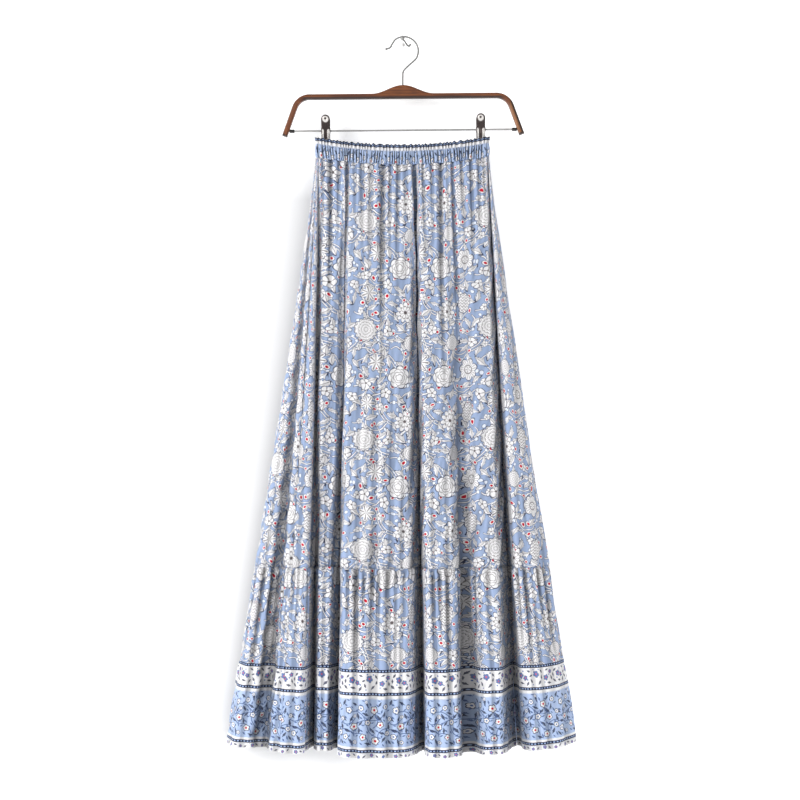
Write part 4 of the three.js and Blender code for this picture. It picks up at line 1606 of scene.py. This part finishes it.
def sewing_thread():
    finish = Finish("sewing_thread")
    place = finish.add("ShaderNodeTexCoord", {}, {}, "Object")
    twist = finish.noise(place, 2600.0, 2.0)
    values = {
        "Base Color": finish.mix(twist, linear(126, 146, 184), linear(168, 184, 212)),
        "Roughness": twist * 0.2 + 0.6,
    }
    return finish.surface(values, twist, distance=0.0001, strength=0.4)


def painted_metal():
    finish = Finish("white_paint")
    place = finish.add("ShaderNodeTexCoord", {}, {}, "Object")
    dust = finish.noise(place, 400.0, 2.0)
    values = {
        "Base Color": finish.mix(dust, linear(252, 252, 252), linear(244, 244, 243)),
        "Roughness": dust * 0.1 + 0.4,
    }
    return finish.surface(values, dust, distance=0.00005, strength=0.2)


def black_rubber():
    finish = Finish("black_rubber")
    place = finish.add("ShaderNodeTexCoord", {}, {}, "Object")
    dust = finish.noise(place, 500.0, 3.0)
    values = {
        "Base Color": finish.mix(dust, linear(20, 19, 19), linear(52, 50, 48)),
        "Roughness": dust * 0.2 + 0.5,
    }
    return finish.surface(values, dust, distance=0.0001, strength=0.4)


# Settings that a user would change


class ClothSettings(bpy.types.PropertyGroup):
    columns: IntProperty(
        name="Columns",
        description="Points across each side of the skirt",
        default=340,
        min=60,
        max=400,
    )
    rows: IntProperty(
        name="Rows",
        description="Points down each panel",
        default=132,
        min=20,
        max=200,
    )
    stitch_pitch: FloatProperty(
        name="Stitch pitch",
        description="From one stitch to the next",
        default=(STITCH_LENGTH + STITCH_GAP) * MM,
        min=0.001,
        unit="LENGTH",
    )


class HangerSettings(bpy.types.PropertyGroup):
    wire_radius: FloatProperty(
        name="Wire radius",
        description="Half the thickness of the hook's wire",
        default=WIRE_RADIUS * MM,
        min=0.0005,
        max=0.0014,
        unit="LENGTH",
    )
    jaw_rows: IntProperty(
        name="Jaw rows",
        description="Points up each jaw",
        default=84,
        min=30,
        max=200,
    )
    jaw_columns: IntProperty(
        name="Jaw columns",
        description="Points across each jaw",
        default=43,
        min=21,
        max=101,
    )


class StageSettings(bpy.types.PropertyGroup):
    distance: FloatProperty(
        name="Camera distance",
        description="From the camera to the hanger's plane",
        default=2.6,
        unit="LENGTH",
    )
    frame_width: FloatProperty(
        name="Frame width",
        description="Width of the picture at the hanger's plane",
        default=1.32,
        unit="LENGTH",
    )
    key: FloatProperty(
        name="Key light",
        description="Power of the large light on the left",
        default=56.0,
        unit="POWER",
    )
    fill: FloatProperty(
        name="Fill light",
        description="Power of the light on the right",
        default=9.0,
        unit="POWER",
    )
    daylight: FloatProperty(
        name="Daylight",
        description="Brightness of the white room",
        default=0.17,
    )
    wall_colour: FloatVectorProperty(
        name="Wall colour",
        description="Colour of the wall behind the skirt",
        subtype="COLOR",
        size=3,
        default=(0.9, 0.9, 0.9),
    )


def shared_material(name, make):
    """A material that several pieces share, made once."""
    return bpy.data.materials.get(name) or make()


PANEL_PRINT_SHIFT = {"front": (64.0, 31.0), "back": (20.0, 75.0)}
FLOUNCE_PRINT_SHIFT = {"front": (22.0, 0.0), "back": (90.0, 0.0)}
BAND_PRINT_TOP = HIGH_WHITE_TOP + CHAIN_HEIGHT + 0.4
BAND_FULLNESS = 1.9


class SKIRT_OT_waistband(bpy.types.Operator):
    """Make the gathered waistband with its ruffled heading"""

    bl_idname = "skirt.waistband"
    bl_label = "Waistband"

    def execute(self, context):
        settings = context.scene.skirt_cloth
        for side in SIDES:
            columns = even_columns(side, int(settings.columns * 1.6), 1.0)
            downs = np.concatenate([
                np.linspace(0, HEADING_HEIGHT, 14)[:-1],
                np.linspace(HEADING_HEIGHT, BAND_HEIGHT, 24),
            ])

            def print_place(wall):
                return wall.place * BAND_FULLNESS, BAND_PRINT_TOP - wall.down

            wall = Wall(side, band_point, columns, downs)
            shade_power = np.where(downs < HEADING_HEIGHT, HEADING_SHADE_POWER, CASING_SHADE_POWER)
            piece = cloth_piece("waistband", wall, band_relief, print_place, shade_power)
            across = HEM.waist(columns[-1]) - HEM.waist(columns[0])
            settle(piece, "waistband", side, across)
        return {"FINISHED"}


class SKIRT_OT_panels(bpy.types.Operator):
    """Make the front and back panels"""

    bl_idname = "skirt.panels"
    bl_label = "Panels"

    def execute(self, context):
        settings = context.scene.skirt_cloth
        for side in SIDES:
            columns = even_columns(side, settings.columns, 0.5)
            downs = PANEL_LENGTH * np.linspace(0, 1, settings.rows) ** 1.25
            shift = PANEL_PRINT_SHIFT[side]
            hanging_cloth("panel", side, columns, downs, panel_relief, shift)
        return {"FINISHED"}


class SKIRT_OT_flounces(bpy.types.Operator):
    """Make the gathered flounce, front and back"""

    bl_idname = "skirt.flounces"
    bl_label = "Flounces"

    def execute(self, context):
        settings = context.scene.skirt_cloth
        for side in SIDES:
            columns = even_columns(side, int(settings.columns * 1.25), 0.0)
            downs = PANEL_LENGTH + FLOUNCE_LENGTH * np.linspace(0, 1, int(settings.rows * 0.75)) ** 1.2
            shift = FLOUNCE_PRINT_SHIFT[side]
            hanging_cloth("flounce", side, columns, downs, flounce_relief, shift)
        return {"FINISHED"}


class SKIRT_OT_hanger(bpy.types.Operator):
    """Finish the hanger's wood and bar, bend its hook and put its sleeves on"""

    bl_idname = "skirt.hanger"
    bl_label = "Hanger"

    def execute(self, context):
        finishes = {
            "hanger_wood": bent_wood(),
            "hanger_bar": polished_steel("polished_bar", 186, 0.5, 0.3),
        }
        for name, finish in finishes.items():
            node = frame["nodes"][name]
            node.data.materials.clear()
            node.data.materials.append(finish)
        self.hook(context.scene.skirt_hanger)
        for side, facing in (("left", -1), ("right", 1)):
            self.sleeve(side, facing)
        return {"FINISHED"}

    def sleeve(self, side, facing):
        """A black rubber tube on the bar, against the inside of the arm."""
        inner, outer = BAR_RADIUS + 0.3, SLEEVE_RADIUS
        start, end = SLEEVE_AT
        profile = [(inner, start), (outer - 0.4, start), (outer, start + 0.4), (outer, end - 0.4)]
        profile += [(outer - 0.4, end), (inner, end), (inner, start)]
        vertices, faces = lathed(profile, 32)
        vertices = np.stack([facing * vertices[:, 1], vertices[:, 0], BAR_Z + vertices[:, 2]], -1)
        sleeve = new_piece(f"rubber_sleeve_{side}", hung(vertices), faces)
        sleeve.data.materials.append(shared_material("black_rubber", black_rubber))
        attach(tidy_mesh(sleeve), BODY)
        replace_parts(sleeve, f"bar_sleeve_{side}")

    def hook(self, settings):
        """The wire hook: a shank, a neck, most of a ring and a turned-out tip with a ball."""
        hump = BEAM_Z + BEAM_HALF + HUMP_RISE
        points = [(0, hump - HOOK_SUNK), (0, HOOK_NECK_Z - 8), (0.6, HOOK_NECK_Z), (3.5, HOOK_NECK_Z + 4.6)]
        x, z = HOOK_CENTRE
        for angle in np.radians(np.linspace(*HOOK_SWEEP, 15)):
            points.append((x + HOOK_RADIUS * math.cos(angle), z + HOOK_RADIUS * math.sin(angle)))
        path = smooth_path([(x, 0, z) for x, z in points + HOOK_TIP], 160)
        material = polished_steel("polished_wire", 148, 0.42, 0.5)
        values = {"Radius": settings.wire_radius, "Step": 1.2 * MM, "Material": material}
        wire = wire_tree().made("hook_wire", hung(path), values)
        arc = np.linspace(0.02, 3.12, 9)
        profile = np.stack([HOOK_BALL_RADIUS * np.sin(arc), HOOK_BALL_RADIUS * np.cos(arc)], -1)
        vertices, faces = lathed(profile, 14)
        ball = new_piece("hook_tip", hung(vertices + path[-1]), faces)
        ball.data.materials.append(material)
        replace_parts(wire, "hanger_hook")
        for piece in (wire, tidy_mesh(ball)):
            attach(piece, BODY)


class SKIRT_OT_clips(bpy.types.Operator):
    """Press the jaws of the two clips and wind their springs"""

    bl_idname = "skirt.clips"
    bl_label = "Clips"

    def execute(self, context):
        settings = context.scene.skirt_hanger
        steel = pressed_steel()
        spring_steel = polished_steel("spring_steel", 150, 0.3, 0.8)
        tree = wire_tree()
        for place, x in (("left", -CLIP_X), ("right", CLIP_X)):
            for side, facing in (("front", -1), ("back", 1)):
                jaw = self.jaw(f"clip_jaw_{place}_{side}", x, side, facing, settings)
                jaw.data.materials.append(steel)
                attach(jaw, BODY)
                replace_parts(jaw, f"clip_{place}_{side}")
            turns = np.linspace(0, SPRING_TURNS * 2 * math.pi, SPRING_TURNS * 16)
            coil = np.stack([
                x + np.linspace(-3.6, 3.6, len(turns)),
                SPRING_RADIUS * np.cos(turns),
                BAR_Z + SPRING_RADIUS * np.sin(turns),
            ], -1)
            values = {"Radius": SPRING_WIRE * MM, "Step": 0.9 * MM, "Material": spring_steel}
            spring = tree.made(f"clip_spring_{place}", hung(coil), values)
            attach(spring, BODY)
        return {"FINISHED"}

    def half_width(self, z):
        head_z = CLIP_TOP - CLIP_LEVER_HALF
        straight = np.interp(z, [0, 6], [CLIP_JAW_HALF, CLIP_LEVER_HALF])
        round_top = np.sqrt(np.clip(CLIP_LEVER_HALF**2 - np.clip(z - head_z, 0, None) ** 2, 0.01, None))
        return np.minimum(straight, round_top)

    def pressed(self, x, z, edge):
        """How far the sheet stands out at each place, and how strongly a highlight is painted there."""
        reach = np.hypot(x, z - (CLIP_TOP - CLIP_LEVER_HALF))
        disc = 1 / (1 + np.exp((reach - 4.9) / 0.22))
        hole = 1 / (1 + np.exp((np.hypot(x + 0.3, z - (CLIP_TOP - CLIP_LEVER_HALF + 1.2)) - 1.8) / 0.16))
        rim = 1 / (1 + np.exp((edge - 0.75) / 0.16))
        centre = np.abs(np.abs(x) - 5.2)
        arch = np.where(z > 0, np.hypot(centre, z), centre)
        rib = 1 / (1 + np.exp((arch - 2.1) / 0.2))
        slot = 1 / (1 + np.exp((arch - 0.55) / 0.12)) * (z < 1)
        out = 0.55 * disc - 0.9 * hole - 1.0 * rim + 0.9 * rib - 0.6 * slot
        # A painted highlight on the raised disc and ribs, none in the hole, the slot or along the rim
        gleam = np.clip(0.95 * disc + 0.95 * rib - 1.2 * hole - 0.75 * slot - 1.1 * rim, 0, 1)
        return out, gleam

    def jaw(self, name, clip_x, side, facing, settings):
        part = np.linspace(0, 1, settings.jaw_rows)
        z = CLIP_BOTTOM + (CLIP_TOP - CLIP_BOTTOM) * np.sin(part * math.pi / 2) ** 0.9
        u = np.sin(np.linspace(-1, 1, settings.jaw_columns) * math.pi / 2 * 0.98)
        z, u = np.meshgrid(z, u / u[-1], indexing="ij")
        width = self.half_width(z)
        x = u * width
        edge = np.minimum(width - np.abs(x), CLIP_TOP - z)
        raised, gleam = self.pressed(x, z, edge)
        out = np.interp(z, JAW_HEIGHTS, JAW_OUT)
        layers = []
        for depth in (out + CLIP_SHEET + raised, out + np.minimum(raised, 0)):
            layers.append(np.stack([x + clip_x, facing * depth, z + BAR_Z], -1).reshape(-1, 3))
        faces = np.concatenate(shell_faces(*x.shape))
        corners = [np.concatenate(layers)]
        all_faces = [faces]
        apart = EAR_APART[side]
        for ear_x in (-apart, apart):
            half = CLIP_SHEET / 2
            hole = BAR_RADIUS + 0.3
            ring = [(hole, -half), (EAR_RADIUS, -half), (EAR_RADIUS, half), (hole, half), (hole, -half)]
            vertices, ear = lathed(ring, 28)
            all_faces.append(ear + sum(len(c) for c in corners))
            corners.append(vertices[:, [1, 0, 2]] + (clip_x + ear_x, 0, BAR_Z))
        piece = new_piece(name, hung(np.concatenate(corners)), np.concatenate(all_faces))
        # The painted highlight, fainter on the inner sheet
        shine = np.zeros(len(piece.data.vertices))
        shine[: 2 * gleam.size] = np.concatenate([gleam.ravel(), 0.3 * gleam.ravel()])
        piece.data.attributes.new("gleam", "FLOAT", "POINT").data.foreach_set("value", shine)
        return tidy_mesh(piece)


class SKIRT_OT_peg(bpy.types.Operator):
    """Turn the wall peg, with its painted base, its ball and its curled wire"""

    bl_idname = "skirt.peg"
    bl_label = "Wall peg"

    def execute(self, context):
        profile = [(0.01, 0), (PEG_FLANGE_RADIUS, 0), (PEG_FLANGE_RADIUS, -PEG_FLANGE_THICK + 0.4)]
        profile += [(PEG_FLANGE_RADIUS - 0.4, -PEG_FLANGE_THICK), (PEG_RADIUS + 0.5, -PEG_FLANGE_THICK)]
        profile += [(PEG_RADIUS, -PEG_FLANGE_THICK - 0.5), (PEG_RADIUS, -PEG_PAINT_OUT)]
        painted_rings = len(profile) - 1
        neck = math.asin(PEG_RADIUS / PEG_BALL_RADIUS)
        for angle in np.linspace(neck, 3.13, 16):
            profile.append((PEG_BALL_RADIUS * math.sin(angle), -PEG_OUT + PEG_BALL_RADIUS * math.cos(angle)))
        sides = 28
        vertices, faces = lathed(profile, sides)
        peg = new_piece("peg", vertices * MM, faces)
        steel = polished_steel("peg_steel", 176, 0.4, 0.4)
        which = (np.arange(len(faces)) >= painted_rings * sides).astype(int)
        material_faces(peg.data, [painted_metal(), steel], which)
        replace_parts(tidy_mesh(peg), "wall_peg")
        path = smooth_path([(x, -PEG_OUT, z) for x, z in PEG_TAIL], 40)
        dull_steel = polished_steel("peg_wire", 116, 0.4, 0.4)
        values = {"Radius": PEG_TAIL_RADIUS * MM, "Step": 0.8 * MM, "Material": dull_steel}
        curl = wire_tree().made("peg_curl", path * MM, values)
        for piece in (peg, curl):
            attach(piece, BODY)
        return {"FINISHED"}


class SKIRT_OT_stitches(bpy.types.Operator):
    """Sew the rows of stitches along the casing, the flounce's seam and the hem"""

    bl_idname = "skirt.stitches"
    bl_label = "Stitches"

    def execute(self, context):
        settings = context.scene.skirt_cloth
        tree = stitch_tree()
        thread = sewing_thread()
        rows = {
            "waistband": (HEADING_HEIGHT, BAND_HEIGHT - 1.6),
            "panel": (PANEL_LENGTH - 2.5,),
            "flounce": (CLOTH_LENGTH - 7,),
        }
        for kind, downs in rows.items():
            for side in SIDES:
                outside = OUTSIDES[f"{kind}_cloth_{side}"]
                for k, down in enumerate(downs):
                    heights = DOWNS[kind]
                    row = int(np.argmin(np.abs(heights - down)))
                    values = {
                        "Pitch": settings.stitch_pitch,
                        "Size": (STITCH_HALF * MM, STITCH_HALF * MM, STITCH_LENGTH / 2 * MM),
                        "Material": thread,
                    }
                    piece = tree.made(f"stitches_{kind}_{side}_{k + 1}", outside[row] * MM, values)
                    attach(piece, BODY)
        return {"FINISHED"}


class SKIRT_OT_stage(bpy.types.Operator):
    """Set up the white room, the lights and the camera"""

    bl_idname = "skirt.stage"
    bl_label = "Stage"

    def execute(self, context):
        scene = context.scene
        settings = scene.skirt_stage
        scene.view_settings.view_transform = "Standard"
        self.room(scene, settings)
        self.camera(scene, settings)
        self.light("key", KEY_AT, KEY_WIDTH, settings.key)
        self.light("fill", FILL_AT, FILL_WIDTH, settings.fill)
        return {"FINISHED"}

    def room(self, scene, settings):
        finish = Finish("room_wall")
        place = finish.add("ShaderNodeTexCoord", {}, {}, "Object")
        node = finish.node("ShaderNodeSeparateXYZ", {}, {0: place})
        across, height = Term(finish, node.outputs["X"]), Term(finish, node.outputs["Z"])
        # The wall glows as painted light, a little brighter towards the right, so that it stays white there,
        # and a painted shadow darkens it close to the left edge of the skirt, which leans out as it falls
        glow = finish.mix(across.above(0.0, 0.7), (0.5, 0.5, 0.5, 1), (1, 1, 1, 1))
        left_of_edge = (across - height * EDGE_LEAN + EDGE_LEFT) * -1.0
        reach = height.above(-0.9, 1.6) * 0.1 + 0.03
        near = (left_of_edge / reach).below(0.5, 1.0) * height.below(-0.2, 0.12) * height.above(-1.2, 0.1)
        near = near * across.below(-0.05, 0.1)
        # Painted shadow on the wall, in both its colour and its glow
        dull = near**1.5 * 0.52
        glow = finish.mix(dull, glow, (0, 0, 0, 1))
        values = {
            "Base Color": finish.mix(dull, (*settings.wall_colour, 1.0), (0.2, 0.2, 0.21, 1)),
            "Roughness": 0.9,
            "Emission Color": glow,
            "Emission Strength": 0.62,
        }
        paint = finish.add("ShaderNodeBsdfPrincipled", {}, values)
        clear = finish.add("ShaderNodeBsdfTransparent", {}, {})
        behind = finish.add("ShaderNodeNewGeometry", {}, {}, "Backfacing")
        both = finish.add("ShaderNodeMixShader", {}, {0: behind, 1: paint, 2: clear})
        finish.node("ShaderNodeOutputMaterial", {}, {"Surface": both})
        foot = [(-ROOM_HALF, WALL_Y, FLOOR_Z), (ROOM_HALF, WALL_Y, FLOOR_Z)]
        top = [(ROOM_HALF, WALL_Y, ROOM_TOP), (-ROOM_HALF, WALL_Y, ROOM_TOP)]
        front = [(-ROOM_HALF, ROOM_FRONT, FLOOR_Z), (ROOM_HALF, ROOM_FRONT, FLOOR_Z)]
        for name, corners in (("wall", foot + top), ("floor", front + foot[::-1])):
            plane = new_piece(name, corners, [(0, 1, 2, 3)], smooth=False)
            plane.data.materials.append(finish.material)
        world = bpy.data.worlds.new("white_room")
        world.use_nodes = True
        background = world.node_tree.nodes["Background"]
        background.inputs["Color"].default_value = (1, 1, 1, 1)
        background.inputs["Strength"].default_value = settings.daylight
        scene.world = world

    def camera(self, scene, settings):
        lens = bpy.data.cameras.new("photo_view")
        lens.sensor_width = 36.0
        lens.lens = lens.sensor_width * settings.distance / settings.frame_width
        camera = bpy.data.objects.new("photo_view", lens)
        camera.location = (CAMERA_X, -HANGER_OUT * MM - settings.distance, CAMERA_Z)
        camera.rotation_euler = (math.pi / 2, 0, 0)
        scene.collection.objects.link(camera)
        scene.camera = camera

    def light(self, name, place, size, power):
        lamp = bpy.data.lights.new(name, "AREA")
        lamp.shape = "SQUARE"
        lamp.size = size
        lamp.energy = power
        holder = bpy.data.objects.new(name, lamp)
        holder.location = place
        towards = Vector(LIT_AT) - Vector(place)
        holder.rotation_euler = towards.to_track_quat("-Z", "Y").to_euler()
        bpy.context.scene.collection.objects.link(holder)


class SKIRT_PT_sidebar(bpy.types.Panel):
    """The steps of the skirt, in order"""

    bl_label = "Skirt"
    bl_idname = "SKIRT_PT_sidebar"
    bl_space_type = "VIEW_3D"
    bl_region_type = "UI"
    bl_category = "Skirt"

    def draw(self, context):
        scene = context.scene
        for settings in (scene.skirt_cloth, scene.skirt_hanger, scene.skirt_stage):
            for name in settings.bl_rna.properties.keys():
                if name not in {"rna_type", "name"}:
                    self.layout.prop(settings, name)
        for step in STEPS:
            self.layout.operator(step.bl_idname)


STEPS = (
    SKIRT_OT_waistband,
    SKIRT_OT_panels,
    SKIRT_OT_flounces,
    SKIRT_OT_stitches,
    SKIRT_OT_hanger,
    SKIRT_OT_clips,
    SKIRT_OT_peg,
    SKIRT_OT_stage,
)
CLASSES = (ClothSettings, HangerSettings, StageSettings, *STEPS, SKIRT_PT_sidebar)


def register():
    for cls in CLASSES:
        bpy.utils.register_class(cls)
    bpy.types.Scene.skirt_cloth = PointerProperty(type=ClothSettings)
    bpy.types.Scene.skirt_hanger = PointerProperty(type=HangerSettings)
    bpy.types.Scene.skirt_stage = PointerProperty(type=StageSettings)


def unregister():
    del bpy.types.Scene.skirt_stage
    del bpy.types.Scene.skirt_hanger
    del bpy.types.Scene.skirt_cloth
    for cls in reversed(CLASSES):
        bpy.utils.unregister_class(cls)


def main():
    register()
    bpy.ops.skirt.waistband()
    bpy.ops.skirt.panels()
    bpy.ops.skirt.flounces()
    bpy.ops.skirt.stitches()
    bpy.ops.skirt.hanger()
    bpy.ops.skirt.clips()
    bpy.ops.skirt.peg()
    bpy.ops.skirt.stage()
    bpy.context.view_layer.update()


if __name__ == "__main__":
    main()
